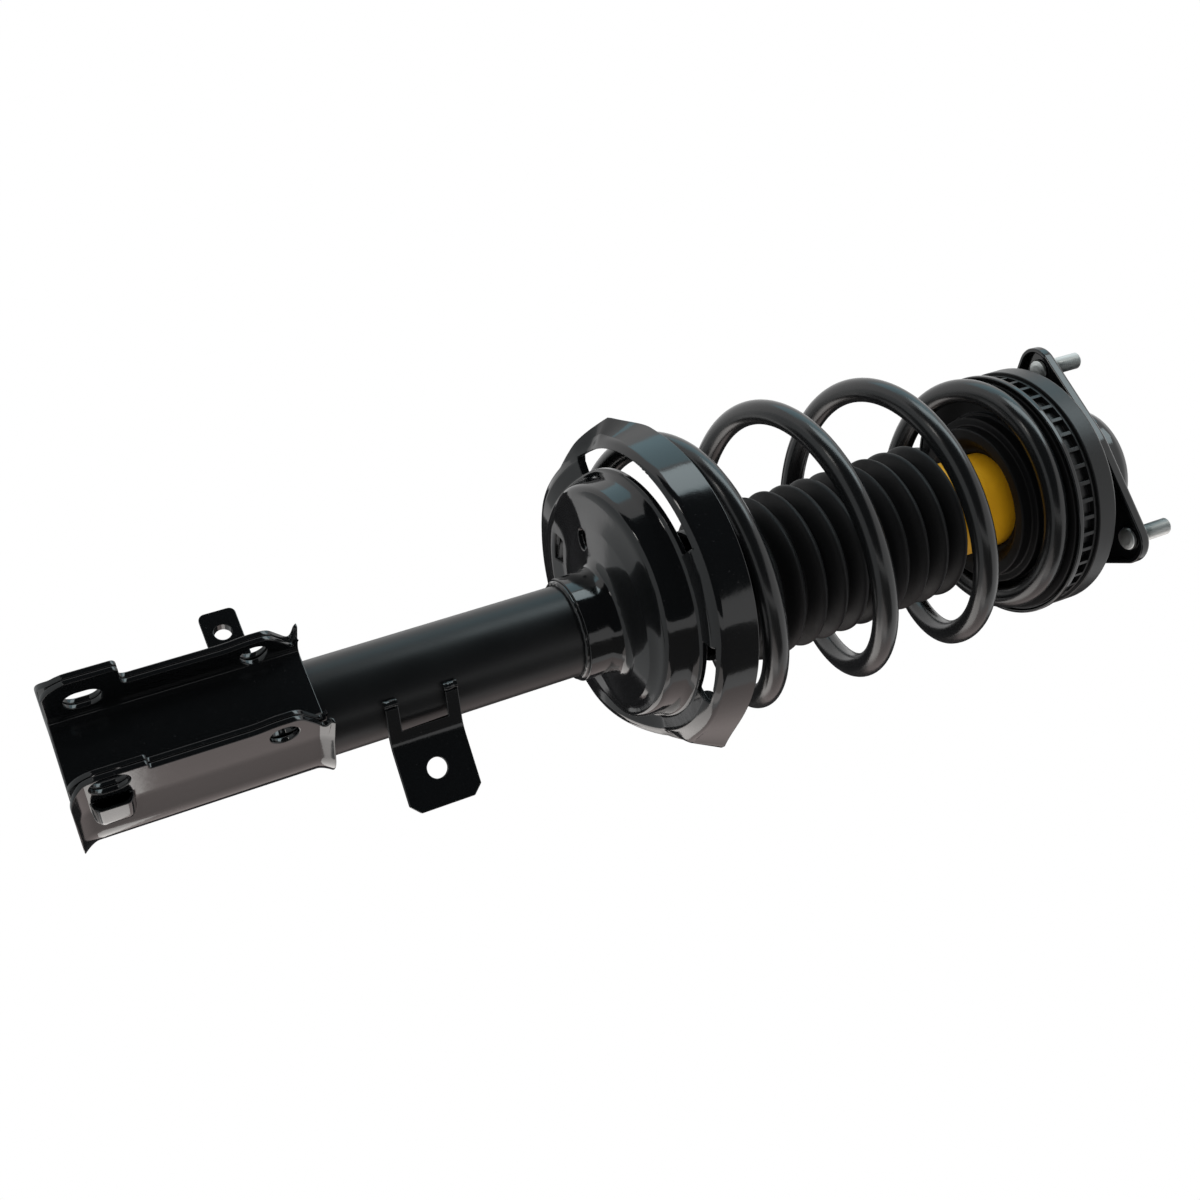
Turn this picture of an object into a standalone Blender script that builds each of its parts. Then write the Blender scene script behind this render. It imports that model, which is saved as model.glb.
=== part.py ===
"""Front suspension strut: damper, coil spring, top mount and knuckle clevis.

Metres, +Z up along the strut axis. The origin is the centre of the mount plate's top face,
where the strut meets the body. The clevis bolts lie along X and its open side faces +Y.
"""
import math

import bmesh
import bpy
from mathutils import Matrix, Vector

for leftover in list(bpy.data.objects):
    bpy.data.objects.remove(leftover, do_unlink=True)

MM = 0.001

# Facets round a full turn
ROUND_STEPS = 30
WIDE_STEPS = 36
STUD_STEPS = 16
SOFT_STEPS = 24              # bump stop and boot

# Gaps between pieces
TOUCH = 0.3 * MM             # two faces that rest on each other
RUNNING = 0.3 * MM           # a shaft in its guide

# Damper
TUBE_RADIUS = 25.4 * MM
TUBE_WALL = 1.8 * MM
TUBE_TOP = -205 * MM
TUBE_BOTTOM = -598 * MM
CAP_THICKNESS = 3 * MM
CAP_INSET = 1 * MM
CYLINDER_RADIUS = 17.5 * MM
CYLINDER_WALL = 1.5 * MM
VALVE_HEIGHT = 14 * MM
ROD_RADIUS = 11 * MM
ROD_LENGTH = 338 * MM
ROD_THREAD_RADIUS = 7 * MM
ROD_TOP = 27 * MM
GUIDE_HEIGHT = 12 * MM
SEAL_HEIGHT = 5 * MM
GLAND_RISE = 3 * MM
GLAND_SKIRT = 9 * MM
GLAND_WALL = 1.6 * MM
PISTON_HEIGHT = 16 * MM
REBOUND_STOP_HEIGHT = 14 * MM
TRAVEL_GAP = 1 * MM          # left between the bump stop and the gland at full travel

# Lower spring seat: the circles of its channel are centred off the strut axis
SIDE = math.radians(26)      # direction in which the spring stands off the axis
SEAT_SHIFT = 8.9 * MM
SEAT_SHEET = 3 * MM
SEAT_FLOOR = -299 * MM       # underside of the coil channel
SEAT_LEAN = 6 * MM           # the channel rises by this much towards SEAT_LEAN_SIDE
SEAT_LEAN_SIDE = math.radians(130)
NECK_LENGTH = 30 * MM
NECK_WALL = 3.2 * MM
PAN_RADIUS = 57 * MM
PAN_DEPTH = 11 * MM          # the pan lies this far under the channel
CHANNEL_INNER = 70 * MM
CHANNEL_OUTER = 79 * MM
GUARD_STEP = 5 * MM          # from the channel's outer edge to the foot of the guard
GUARD_HEIGHT = 25 * MM
GUARD_FLARE = 12 * MM        # the two ends of the guard lean out by this much
GUARD_START = math.radians(35)   # middle of the slope at which the guard rises from the rim
GUARD_START_SLOPE = math.radians(15)
GUARD_END = math.radians(212)
GUARD_END_SLOPE = math.radians(7)
RIM_HEIGHT = 2 * MM          # the rim opposite the guard is nearly flat
SEAT_WINDOWS = (((16, 108), (70 * MM, 81.6 * MM)), ((146, 172), (70 * MM, 81.6 * MM)),
                ((-31, -15), (53 * MM, 61 * MM)))   # degrees, then inner and outer radius
SEAT_HOLES = ((29, 45 * MM, 6 * MM), (330, 44 * MM, 6 * MM))   # degrees, distance from the axis, radius
SEAT_STEPS = 42

# Coil spring
WIRE_RADIUS = 7 * MM
COIL_RADIUS = 78.5 * MM
COIL_END_RADIUS = 72.5 * MM  # dead turn in the seat's channel
COIL_TOP_RADIUS = 64.5 * MM
COIL_PITCH = 68 * MM
COIL_SHIFT_LOW = 12.5 * MM   # side-load spring: its turns stand off the axis
COIL_SHIFT_HIGH = 3 * MM
COIL_LEAN = 3.7 * MM
COIL_BACK = 5.5 * MM         # the free turns climb earlier on the side away from COIL_FRONT
COIL_FRONT = math.radians(116)
COIL_START_ANGLE = math.radians(-9)
COIL_FIRST = -0.45           # turns, counted from the first free turn
COIL_LAST = 3.95
COIL_FREE_FROM = 0.25
COIL_WIDE_FROM = 0.55        # from here on the turns have their full radius
COIL_FREE_TO = 2.6
COIL_FLAT_FROM = 3.3
COIL_POINTS_PER_TURN = 24
COIL_SIDES = 8
INSULATOR_LOW = 3 * MM

# Top mount
STUD_CIRCLE = 67.5 * MM
STUD_COUNT = 3
STUD_FIRST = math.radians(41)
STUD_RADIUS = 5 * MM
STUD_RISE = 27 * MM
STUD_HEAD_RADIUS = 7 * MM
STUD_HEAD_HEIGHT = 2.5 * MM
PLATE_CORNER = 14.5 * MM
PLATE_MIDDLE = 54.5 * MM
PLATE_SHEET = 3 * MM
PLATE_RIM_DEPTH = 7 * MM
PLATE_RIM_WALL = 2.8 * MM
DRUM_RADIUS = 50 * MM
DRUM_DEPTH = 21 * MM
BUSH_RADIUS = 36.2 * MM
BUSH_TOP = 8 * MM
SLEEVE_RADIUS = 14 * MM
SLEEVE_FLANGE = 24 * MM
FLANGE_HEIGHT = 3 * MM
DOME_RADIUS = 39.4 * MM
DOME_HEIGHT = 24 * MM
DOME_SHEET = 2 * MM
DOME_HOLE = 26 * MM
DOME_FLANGE = 46 * MM
NUT_FLATS = 21 * MM
NUT_HEIGHT = 10 * MM

# Bearing
BAND_RADIUS = 73.5 * MM
BAND_HEIGHT = 13.4 * MM
BAND_SKIRT = 3 * MM
BAND_DECK = 5.6 * MM
BEARING_BORE = 42 * MM
RIBBED_INSET = 2 * MM        # the lower housing stands this far inside the band
RIBBED_HEIGHT = 11 * MM
POCKET_COUNT = 36
POCKET_DEPTH = 3.5 * MM
POCKET_RIB = 2.4 * MM        # rib left between two pockets
POCKET_MARGIN = 1.8 * MM
BALL_RADIUS = 3 * MM
BALL_INSET = 19.5 * MM       # from the band to the balls' circle
BALL_COUNT = 12
CAGE_WIDTH = 9 * MM
CAGE_HEIGHT = 2.4 * MM

# Upper spring seat, insulator, bump stop and boot
UPPER_SHEET = 2 * MM
UPPER_OVERHANG = 1 * MM      # the upper seat's rim stands this far outside the band
UPPER_RIM = 2 * MM
CUP_RADIUS = 33 * MM
CUP_RISE = 9 * MM
CUP_HOLE = 13.5 * MM
INSULATOR_SHEET = 2 * MM
INSULATOR_STEPS = ((53, 5.5), (51.5, 12), (46.5, 19))   # radius and depth of each step, mm
COLLAR_MOUTH = 40 * MM
BUMP_RADIUS = 29 * MM
BUMP_NECK = 25.5 * MM
BUMP_LENGTH = 72 * MM
BUMP_NECK_FROM_TOP = 46 * MM
BUMP_NECK_LENGTH = 7 * MM
BOOT_WALL = 2.4 * MM
BOOT_CREST = 45.5 * MM
BOOT_VALLEY = 39.5 * MM
BOOT_RIBS = 12
BOOT_PITCH = 13.5 * MM
BOOT_SKIRT = 9.5 * MM

# Knuckle clevis
CLEVIS_BOTTOM = -606 * MM
CLEVIS_TOP = -482 * MM
CLEVIS_OUTER_SHEET = 3 * MM
CLEVIS_INNER_SHEET = 2.7 * MM
CLEVIS_GAP = 40 * MM         # between the faces that hold the knuckle
CLEVIS_TURN = math.radians(9)  # the sheet follows the tube this far past its widest point
EAR_EDGE = 46 * MM
LOBE_EDGE = 60.5 * MM        # lower lobe of the far ear; the near ear's is lower
LOBE_EDGE_NEAR = 50.5 * MM
LOBE_CORNER = 15 * MM
LOBE_TOP = -569 * MM
UPPER_LOBE = 47.8 * MM
EAR_NOTCH = 33 * MM
HORN_EDGE = 39.5 * MM
HORN_HEIGHT = 3.5 * MM
FLARE_LOW = 4.5 * MM         # both ends of the outer channel flare outwards
FLARE_HIGH = 3.6 * MM
BOLT_HOLE_RADIUS = 7.1 * MM
LOWER_BOLT = (42.5 * MM, -587 * MM)   # distance from the axis and height
UPPER_BOLT = (36.5 * MM, -506 * MM)
CAMBER_SLOT = 4 * MM         # the lower hole is this much longer than it is wide
STRAP_WIDTH = 19 * MM
STRAP_RISE = 5.5 * MM
STRAP_HEIGHT = -587.5 * MM
STRAP_SPAN = (3 * MM, 27 * MM)

# Brackets for the brake hose and the sensor wire
HOSE_SIDE = math.radians(206)
HOSE_SHEET = 3 * MM
HOSE_WIDTH = 39 * MM
HOSE_HEIGHT = -434 * MM
HOSE_REACH = 66.5 * MM
HOSE_BEND = 29.5 * MM
HOSE_WELD_ANGLE = math.radians(57)
HOSE_LEG_LENGTH = 5 * MM
HOSE_CORNER = 6 * MM         # chamfer of the two outer corners
HOSE_HOLE_RADIUS = 5.5 * MM
HOSE_HOLE_REACH = 47 * MM
HOSE_SLOT = 19 * MM
TAB_SHEET = 2 * MM
TAB_WIDTH = 19 * MM
TAB_HEIGHT = -513.5 * MM
TAB_REACH = 62 * MM
TAB_PLANE = 16.5 * MM
TAB_HOLE_RADIUS = 4.5 * MM
TAB_HOLE_REACH = 49 * MM
TAB_COLLAR = 3 * MM

# Heights that follow from the sizes above
BAND_TOP = -DRUM_DEPTH - TOUCH
BAND_BOTTOM = BAND_TOP - BAND_HEIGHT
RIBBED_RADIUS = BAND_RADIUS - RIBBED_INSET
UPPER_RADIUS = BAND_RADIUS + UPPER_OVERHANG
BALL_CIRCLE = BAND_RADIUS - BALL_INSET
RACE_TOP = BAND_TOP - BAND_DECK
BALL_HEIGHT = RACE_TOP - TOUCH - BALL_RADIUS
RACE_BOTTOM = BALL_HEIGHT - BALL_RADIUS - TOUCH
RIBBED_TOP = BAND_BOTTOM - TOUCH
RIBBED_BOTTOM = RIBBED_TOP - RIBBED_HEIGHT
UPPER_TOP = RIBBED_BOTTOM - TOUCH
INSULATOR_TOP = UPPER_TOP - UPPER_SHEET - TOUCH
COIL_TOP = INSULATOR_TOP - INSULATOR_SHEET - TOUCH - WIRE_RADIUS
BUMP_TOP = UPPER_TOP + CUP_RISE - UPPER_SHEET - TOUCH
BUMP_BOTTOM = BUMP_TOP - BUMP_LENGTH
NECK_TOP = BUMP_TOP - BUMP_NECK_FROM_TOP
BOOT_TOP = NECK_TOP - 0.5 * MM
BOOT_COLLAR = BUMP_NECK_LENGTH - 1 * MM
SLEEVE_BOTTOM = -DRUM_DEPTH + 1.5 * MM
GUARD_RADIUS = CHANNEL_OUTER + GUARD_STEP
GLAND_TOP = TUBE_TOP + TOUCH + GLAND_RISE
GUIDE_LOW = TUBE_TOP - SEAL_HEIGHT - GUIDE_HEIGHT - 2 * TOUCH
TRAVEL = BUMP_BOTTOM - GLAND_TOP - TRAVEL_GAP
EAR_OUTER = CLEVIS_GAP / 2 + CLEVIS_INNER_SHEET + TOUCH + CLEVIS_OUTER_SHEET
WRAP_RADIUS = TUBE_RADIUS + TOUCH + CLEVIS_OUTER_SHEET
CLEVIS_PINCH = (WRAP_RADIUS - EAR_OUTER * math.cos(CLEVIS_TURN)) / math.sin(CLEVIS_TURN)


# Materials

def material(name, colour, roughness, metallic=0.0):
    found = bpy.data.materials.get(name)
    if found:
        return found
    made = bpy.data.materials.new(name)
    made.use_nodes = True
    shader = made.node_tree.nodes["Principled BSDF"]
    shader.inputs["Base Color"].default_value = (*colour, 1)
    shader.inputs["Roughness"].default_value = roughness
    shader.inputs["Metallic"].default_value = metallic
    return made


BLACK_PAINT = material("black_paint", (0.012, 0.013, 0.014), 0.22)
BLACK_PLASTIC = material("black_plastic", (0.02, 0.022, 0.024), 0.5)
RUBBER = material("rubber", (0.018, 0.018, 0.019), 0.8)
FOAM = material("yellow_foam", (0.85, 0.42, 0.02), 0.6)
ZINC = material("zinc", (0.5, 0.52, 0.5), 0.35, 1.0)
CHROME = material("chrome", (0.75, 0.76, 0.78), 0.12, 1.0)
STEEL = material("plain_steel", (0.42, 0.42, 0.43), 0.4, 1.0)


# Building blocks

def finish(name, shape, paint):
    """Turn a bmesh into a named, smooth-shaded object with its own material slot."""
    bmesh.ops.remove_doubles(shape, verts=shape.verts, dist=1e-7)
    bmesh.ops.recalc_face_normals(shape, faces=shape.faces)
    mesh = bpy.data.meshes.new(name)
    shape.to_mesh(mesh)
    shape.free()
    mesh.shade_smooth()
    mesh.set_sharp_from_angle(angle=math.radians(35))
    mesh.materials.append(paint)
    made = bpy.data.objects.new(name, mesh)
    bpy.context.scene.collection.objects.link(made)
    return made


def rings_to_shape(rings, closed_path):
    """Skin equal rings of points; the skin closes on itself or gets two flat ends."""
    shape = bmesh.new()
    loops = [[shape.verts.new(point) for point in ring] for ring in rings]
    count = len(loops[0])
    pairs = list(zip(loops, loops[1:]))
    if closed_path:
        pairs.append((loops[-1], loops[0]))
    for lower, upper in pairs:
        for k in range(count):
            n = (k + 1) % count
            shape.faces.new((lower[k], lower[n], upper[n], upper[k]))
    if not closed_path:
        shape.faces.new(list(reversed(loops[0])))
        shape.faces.new(loops[-1])
    return shape


def turned(name, profile, paint, steps=ROUND_STEPS):
    """Revolve a closed outline of (radius, height) pairs that stays off the axis."""
    rings = []
    for k in range(steps):
        angle = 2 * math.pi * k / steps
        rings.append([(r * math.cos(angle), r * math.sin(angle), z) for r, z in profile])
    return finish(name, rings_to_shape(rings, True), paint)


def turned_solid(name, profile, paint, steps=ROUND_STEPS):
    """Revolve an open outline of (radius, height) pairs, given top to bottom, into a full round."""
    rings = []
    for r, z in profile:
        rings.append([(r * math.cos(2 * math.pi * k / steps), r * math.sin(2 * math.pi * k / steps), z)
                      for k in range(steps)])
    return finish(name, rings_to_shape(rings, False), paint)


def pillar(outline, low, high, turn=None):
    """Prism over an XY outline, from one height to the other."""
    rings = [[Vector((x, y, z)) for x, y in outline] for z in (low, high)]
    if turn:
        rings = [[turn @ point for point in ring] for ring in rings]
    return rings_to_shape(rings, False)


def arc(centre, radius, start, end, steps):
    """Points on an arc in a plane, both ends included."""
    return [(centre[0] + radius * math.cos(start + (end - start) * k / steps),
             centre[1] + radius * math.sin(start + (end - start) * k / steps)) for k in range(steps + 1)]


def rounded(points, radius, steps=4):
    """Round every inner corner of an open path with an arc-like curve."""
    path = [Vector(points[0])]
    for before, corner, after in zip(points, points[1:], points[2:]):
        corner = Vector(corner)
        back = Vector(before) - corner
        ahead = Vector(after) - corner
        reach = min(radius, back.length * 0.45, ahead.length * 0.45)
        start = corner + back.normalized() * reach
        end = corner + ahead.normalized() * reach
        for k in range(steps + 1):
            t = k / steps
            path.append(start * (1 - t) ** 2 + corner * 2 * t * (1 - t) + end * t ** 2)
    path.append(Vector(points[-1]))
    return path


def ribbon(path, thickness, flare=0.0):
    """Outline of a bent sheet whose middle follows an open path; flare moves it to its left."""
    path = [Vector(point) for point in path]
    left = []
    right = []
    for k, point in enumerate(path):
        before = path[max(k - 1, 0)]
        after = path[min(k + 1, len(path) - 1)]
        first = (point - before).normalized() if k else (after - point).normalized()
        second = (after - point).normalized() if k < len(path) - 1 else first
        along = (first + second).normalized()
        across = Vector((-along.y, along.x)) / max(along.dot(first), 0.3)
        left.append(point + across * (thickness / 2 + flare))
        right.append(point + across * (flare - thickness / 2))
    return left + right[::-1]


def cutter(name, shape):
    """A hidden tool body for a Boolean modifier."""
    made = finish(name, shape, STEEL)
    made.hide_render = True
    made.display_type = "WIRE"
    return made


def change(target, tool, operation="DIFFERENCE"):
    step = target.modifiers.new(tool.name, "BOOLEAN")
    step.operation = operation
    step.solver = "EXACT"
    step.object = tool


def drill(centre, axis, radius, length, steps=24):
    """Round bar along an axis, centred on a point: the shape of a drilled hole."""
    turn = Vector((0, 0, 1)).rotation_difference(Vector(axis)).to_matrix().to_4x4()
    place = Matrix.Translation(Vector(centre)) @ turn
    return pillar(arc((0, 0), radius, 0, 2 * math.pi * (steps - 1) / steps, steps - 1),
                  -length / 2, length / 2, place)


def join(shapes):
    """Put several separate bmesh bodies into one."""
    total = bmesh.new()
    for shape in shapes:
        mesh = bpy.data.meshes.new("joined")
        shape.to_mesh(mesh)
        shape.free()
        total.from_mesh(mesh)
        bpy.data.meshes.remove(mesh)
    return total


def smooth_step(value, low, high):
    t = min(max((value - low) / (high - low), 0.0), 1.0)
    return t * t * (3 - 2 * t)


# Damper: tube, bottom cap, inner cylinder, base valve, guide, seal and gland

def make_damper():
    bore = TUBE_RADIUS - TUBE_WALL
    turned("strut_tube", [(TUBE_RADIUS, TUBE_TOP), (TUBE_RADIUS, TUBE_BOTTOM),
                          (bore, TUBE_BOTTOM), (bore, TUBE_TOP)], BLACK_PAINT)

    cap_low = TUBE_BOTTOM + CAP_INSET
    cap_high = cap_low + CAP_THICKNESS
    cap_radius = bore - TOUCH
    dish = 2 * CAP_THICKNESS
    turned_solid("tube_end_cap", [(cap_radius * 0.45, cap_high), (cap_radius * 0.8, cap_high),
                                  (cap_radius - CAP_THICKNESS, cap_high + dish), (cap_radius, cap_high + dish),
                                  (cap_radius, cap_low), (cap_radius * 0.45, cap_low)], BLACK_PAINT)

    seal_high = TUBE_TOP - TOUCH
    seal_low = seal_high - SEAL_HEIGHT
    guide_low = GUIDE_LOW
    guide_high = guide_low + GUIDE_HEIGHT
    rod_hole = ROD_RADIUS + RUNNING
    cylinder_bore = CYLINDER_RADIUS - CYLINDER_WALL
    spigot = GUIDE_HEIGHT / 2
    turned("oil_seal", [(bore - TOUCH, seal_high), (bore - TOUCH, seal_low), (rod_hole, seal_low),
                        (rod_hole, seal_high - 1 * MM), (rod_hole + 1.5 * MM, seal_high)], RUBBER)
    turned("rod_guide", [(bore - TOUCH, guide_high), (bore - TOUCH, guide_low + spigot),
                         (cylinder_bore - TOUCH, guide_low + spigot), (cylinder_bore - TOUCH, guide_low),
                         (rod_hole, guide_low), (rod_hole, guide_high)], STEEL)

    valve_low = cap_high + TOUCH
    cylinder_low = valve_low + VALVE_HEIGHT / 2
    cylinder_high = guide_low + spigot - TOUCH
    turned("inner_cylinder", [(CYLINDER_RADIUS, cylinder_high), (CYLINDER_RADIUS, cylinder_low),
                              (cylinder_bore, cylinder_low), (cylinder_bore, cylinder_high)], STEEL)
    turned_solid("base_valve", [(cylinder_bore - TOUCH, valve_low + VALVE_HEIGHT),
                                (cylinder_bore - TOUCH, cylinder_low - TOUCH),
                                (CYLINDER_RADIUS, cylinder_low - TOUCH),
                                (cap_radius * 0.75, valve_low)], STEEL)

    skirt = TUBE_RADIUS + TOUCH
    cap_under = TUBE_TOP + TOUCH
    turned("gland_cap", [(skirt + GLAND_WALL - 1 * MM, GLAND_TOP), (skirt + GLAND_WALL, GLAND_TOP - 1 * MM),
                         (skirt + GLAND_WALL, TUBE_TOP - GLAND_SKIRT), (skirt, TUBE_TOP - GLAND_SKIRT),
                         (skirt, cap_under), (ROD_RADIUS + 2 * MM, cap_under),
                         (ROD_RADIUS + 2 * MM, GLAND_TOP)], BLACK_PAINT)


# Rod, piston, rebound stop and the nut at the rod's lower end

def make_rod():
    rod_low = SLEEVE_BOTTOM - TOUCH - ROD_LENGTH
    shoulder = SLEEVE_BOTTOM - TOUCH
    tenon = 9 * MM
    turned_solid("piston_rod", [(ROD_THREAD_RADIUS - 1 * MM, ROD_TOP), (ROD_THREAD_RADIUS, ROD_TOP - 1 * MM),
                                (ROD_THREAD_RADIUS, shoulder), (ROD_RADIUS - 1 * MM, shoulder),
                                (ROD_RADIUS, shoulder - 1 * MM), (ROD_RADIUS, rod_low), (tenon / 2, rod_low),
                                (tenon / 2, rod_low - PISTON_HEIGHT - 9 * MM)], CHROME)

    cylinder_bore = CYLINDER_RADIUS - CYLINDER_WALL
    piston_high = rod_low - TOUCH
    piston_low = piston_high - PISTON_HEIGHT
    land = 3 * MM
    turned("piston", [(cylinder_bore - RUNNING, piston_high), (cylinder_bore - RUNNING, piston_low),
                      (cylinder_bore - land, piston_low), (cylinder_bore - land, piston_low + land),
                      (tenon / 2 + TOUCH, piston_low + land), (tenon / 2 + TOUCH, piston_high)], STEEL)

    nut = pillar(arc((0, 0), 8 * MM, 0, 2 * math.pi * 5 / 6, 5), piston_low + land - TOUCH - 7 * MM,
                 piston_low + land - TOUCH)
    piston_nut = finish("piston_nut", nut, STEEL)
    change(piston_nut, cutter("piston_nut_bore", drill((0, 0, piston_low), (0, 0, 1),
                                                       tenon / 2 + TOUCH, 40 * MM)))

    stop_high = GUIDE_LOW - TOUCH
    stop_low = stop_high - REBOUND_STOP_HEIGHT
    turned("rebound_stop", [(cylinder_bore - 1 * MM, stop_high), (cylinder_bore - 1 * MM, stop_low),
                            (ROD_RADIUS + TOUCH, stop_low), (ROD_RADIUS + TOUCH, stop_high)], RUBBER)


# Lower spring seat: one drawn pan with a neck on the tube, a leaning channel and a tall guard

def channel_rise(angle):
    """Height of the seat's channel at an angle, against its mean height."""
    return SEAT_LEAN * math.cos(angle - SEAT_LEAN_SIDE)


def seat_point(radius, height, angle, thickness=0.0):
    """Place a point of the seat's section: outer circles shift sideways and the channel leans."""
    outward = smooth_step(radius, PAN_RADIUS * 0.7, CHANNEL_INNER)
    shift = SEAT_SHIFT * outward
    x = radius * math.cos(angle) + shift * math.cos(SIDE)
    y = radius * math.sin(angle) + shift * math.sin(SIDE)
    return (x, y, height + channel_rise(angle) * outward + thickness)


def seat_section(angle):
    """Underside of the seat from the neck to the guard's edge, as (radius, height) pairs."""
    neck = TUBE_RADIUS + TOUCH + NECK_WALL
    pan = SEAT_FLOOR - PAN_DEPTH
    guard = smooth_step(angle, GUARD_START - GUARD_START_SLOPE, GUARD_START + GUARD_START_SLOPE)
    guard *= 1 - smooth_step(angle, GUARD_END - GUARD_END_SLOPE, GUARD_END + GUARD_END_SLOPE)
    rise = RIM_HEIGHT + (GUARD_HEIGHT - RIM_HEIGHT) * guard
    low_end = max(math.cos(angle - GUARD_START), 0.0) ** (60 if angle > GUARD_START else 14)
    high_end = max(math.cos(angle - GUARD_END + GUARD_END_SLOPE), 0.0) ** 60
    lean = 2 * MM * guard + GUARD_FLARE * (low_end + high_end * guard)
    return [(neck, pan - NECK_LENGTH), (neck + 0.4 * MM, pan - NECK_LENGTH * 0.4),
            (neck + 3.5 * MM, pan - 3 * MM), (neck + 11 * MM, pan), (PAN_RADIUS - 2 * MM, pan),
            (PAN_RADIUS + 2.5 * MM, pan + 1.2 * MM), (CHANNEL_INNER - 2.5 * MM, SEAT_FLOOR - 1.2 * MM),
            (CHANNEL_INNER, SEAT_FLOOR), (CHANNEL_OUTER, SEAT_FLOOR),
            (CHANNEL_OUTER + 3.4 * MM, SEAT_FLOOR + min(2 * MM, rise * 0.3)),
            (GUARD_RADIUS + lean * 0.3, SEAT_FLOOR + min(5 * MM, rise * 0.7)),
            (GUARD_RADIUS + lean, SEAT_FLOOR + rise)]


def seat_inner(section):
    """The same section one sheet thickness further in, along its own normals."""
    inner = []
    for k, (r, z) in enumerate(section):
        before = section[max(k - 1, 0)]
        after = section[min(k + 1, len(section) - 1)]
        along = Vector((after[0] - before[0], after[1] - before[1])).normalized()
        inner.append((r - along.y * SEAT_SHEET, z + along.x * SEAT_SHEET))
    return inner


def make_lower_seat():
    rings = []
    for k in range(SEAT_STEPS):
        angle = 2 * math.pi * k / SEAT_STEPS
        under = seat_section(angle)
        over = seat_inner(under)
        points = [seat_point(r, z, angle) for r, z in under]
        points += [seat_point(r, z, angle) for r, z in reversed(over)]
        rings.append(points)
    seat = finish("lower_spring_seat", rings_to_shape(rings, True), BLACK_PAINT)

    windows = []
    centre = (SEAT_SHIFT * math.cos(SIDE), SEAT_SHIFT * math.sin(SIDE))
    for degrees, reach in SEAT_WINDOWS:
        start, end = (math.radians(angle) for angle in degrees)
        inner, outer = reach
        outline = arc(centre, outer, start, end, 8) + arc(centre, inner, end, start, 8)
        windows.append(pillar(outline, SEAT_FLOOR - 14 * MM, SEAT_FLOOR + 16 * MM))
    for degrees, distance, radius in SEAT_HOLES:
        angle = math.radians(degrees)
        windows.append(drill((distance * math.cos(angle), distance * math.sin(angle), SEAT_FLOOR),
                             (0, 0, 1), radius, 60 * MM, 12))
    change(seat, cutter("seat_windows", join(windows)))


# Coil spring and its lower insulator

def coil_point(turn):
    """Centre of the wire at a number of turns from the first free turn."""
    angle = COIL_START_ANGLE + 2 * math.pi * turn
    seated_height = SEAT_FLOOR + SEAT_SHEET + INSULATOR_LOW + 2 * TOUCH + WIRE_RADIUS
    free_start = seated_height + 4 * MM
    height = free_start + COIL_PITCH * turn + COIL_LEAN * math.cos(angle - SIDE)
    early = smooth_step(turn, 0.4, 0.8) * (1 - smooth_step(turn, 2.0, 2.45))
    height += COIL_BACK * early * (1 - math.cos(angle - COIL_FRONT)) / 2
    free_end = free_start + COIL_PITCH * COIL_FREE_TO
    if turn > COIL_FREE_TO:
        part = min((turn - COIL_FREE_TO) / (COIL_FLAT_FROM - COIL_FREE_TO), 1.0)
        lean = COIL_LEAN * math.cos(angle - SIDE) * (1 - smooth_step(part, 0, 1))
        height = free_end + (COIL_TOP - free_end) * math.sin(part * math.pi / 2) + lean
    seated = 1 - smooth_step(turn, -0.2, COIL_FREE_FROM)
    height = height * (1 - seated) + (seated_height + channel_rise(angle)) * seated
    top = smooth_step(turn, COIL_FREE_TO - 0.3, COIL_FLAT_FROM - 0.1)
    radius = COIL_RADIUS + (COIL_TOP_RADIUS - COIL_RADIUS) * top
    radius += (COIL_END_RADIUS - COIL_RADIUS) * (1 - smooth_step(turn, -0.2, COIL_WIDE_FROM))
    along = min(max(turn / COIL_FLAT_FROM, 0.0), 1.0)
    shift = COIL_SHIFT_LOW + (COIL_SHIFT_HIGH - COIL_SHIFT_LOW) * along
    shift = shift * (1 - seated) + SEAT_SHIFT * seated
    return Vector((shift * math.cos(SIDE) + radius * math.cos(angle),
                   shift * math.sin(SIDE) + radius * math.sin(angle), height))


def coil_path():
    count = round((COIL_LAST - COIL_FIRST) * COIL_POINTS_PER_TURN)
    return [coil_point(COIL_FIRST + (COIL_LAST - COIL_FIRST) * k / count) for k in range(count + 1)]


def least_coil_gap(path):
    """Clear distance between the wire and its own next turns."""
    skip = COIL_POINTS_PER_TURN // 2
    least = min((a - b).length for k, a in enumerate(path) for b in path[k + skip:])
    return least - 2 * WIRE_RADIUS


def tube_rings(path, radius, sides):
    """Round rings across a path, kept level with the strut axis so that the tube doesn't twist."""
    rings = []
    for k, point in enumerate(path):
        along = (path[min(k + 1, len(path) - 1)] - path[max(k - 1, 0)]).normalized()
        across = along.cross(Vector((0, 0, 1))).normalized()
        up = across.cross(along)
        rings.append([point + (across * math.cos(2 * math.pi * s / sides)
                               + up * math.sin(2 * math.pi * s / sides)) * radius for s in range(sides)])
    return rings


def make_spring():
    path = coil_path()
    finish("coil_spring", rings_to_shape(tube_rings(path, WIRE_RADIUS, COIL_SIDES), False), BLACK_PAINT)
    print("coil spring: least gap to itself %.2f mm" % (least_coil_gap(path) / MM))

    rings = []
    start = COIL_START_ANGLE + 2 * math.pi * COIL_FIRST
    steps = 20
    inner = CHANNEL_INNER - 1 * MM
    outer = CHANNEL_OUTER - 2 * MM
    low = SEAT_FLOOR + SEAT_SHEET + TOUCH
    high = low + INSULATOR_LOW
    for k in range(steps + 1):
        angle = start + math.radians(150) * k / steps
        rings.append([seat_point(r, z, angle) for r, z in
                      ((inner, low), (outer, low), (outer, high), (inner, high))])
    finish("lower_insulator", rings_to_shape(rings, False), RUBBER)


# Top mount: plate with its drum, studs, bush, sleeve, dome, washer and nut

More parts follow.
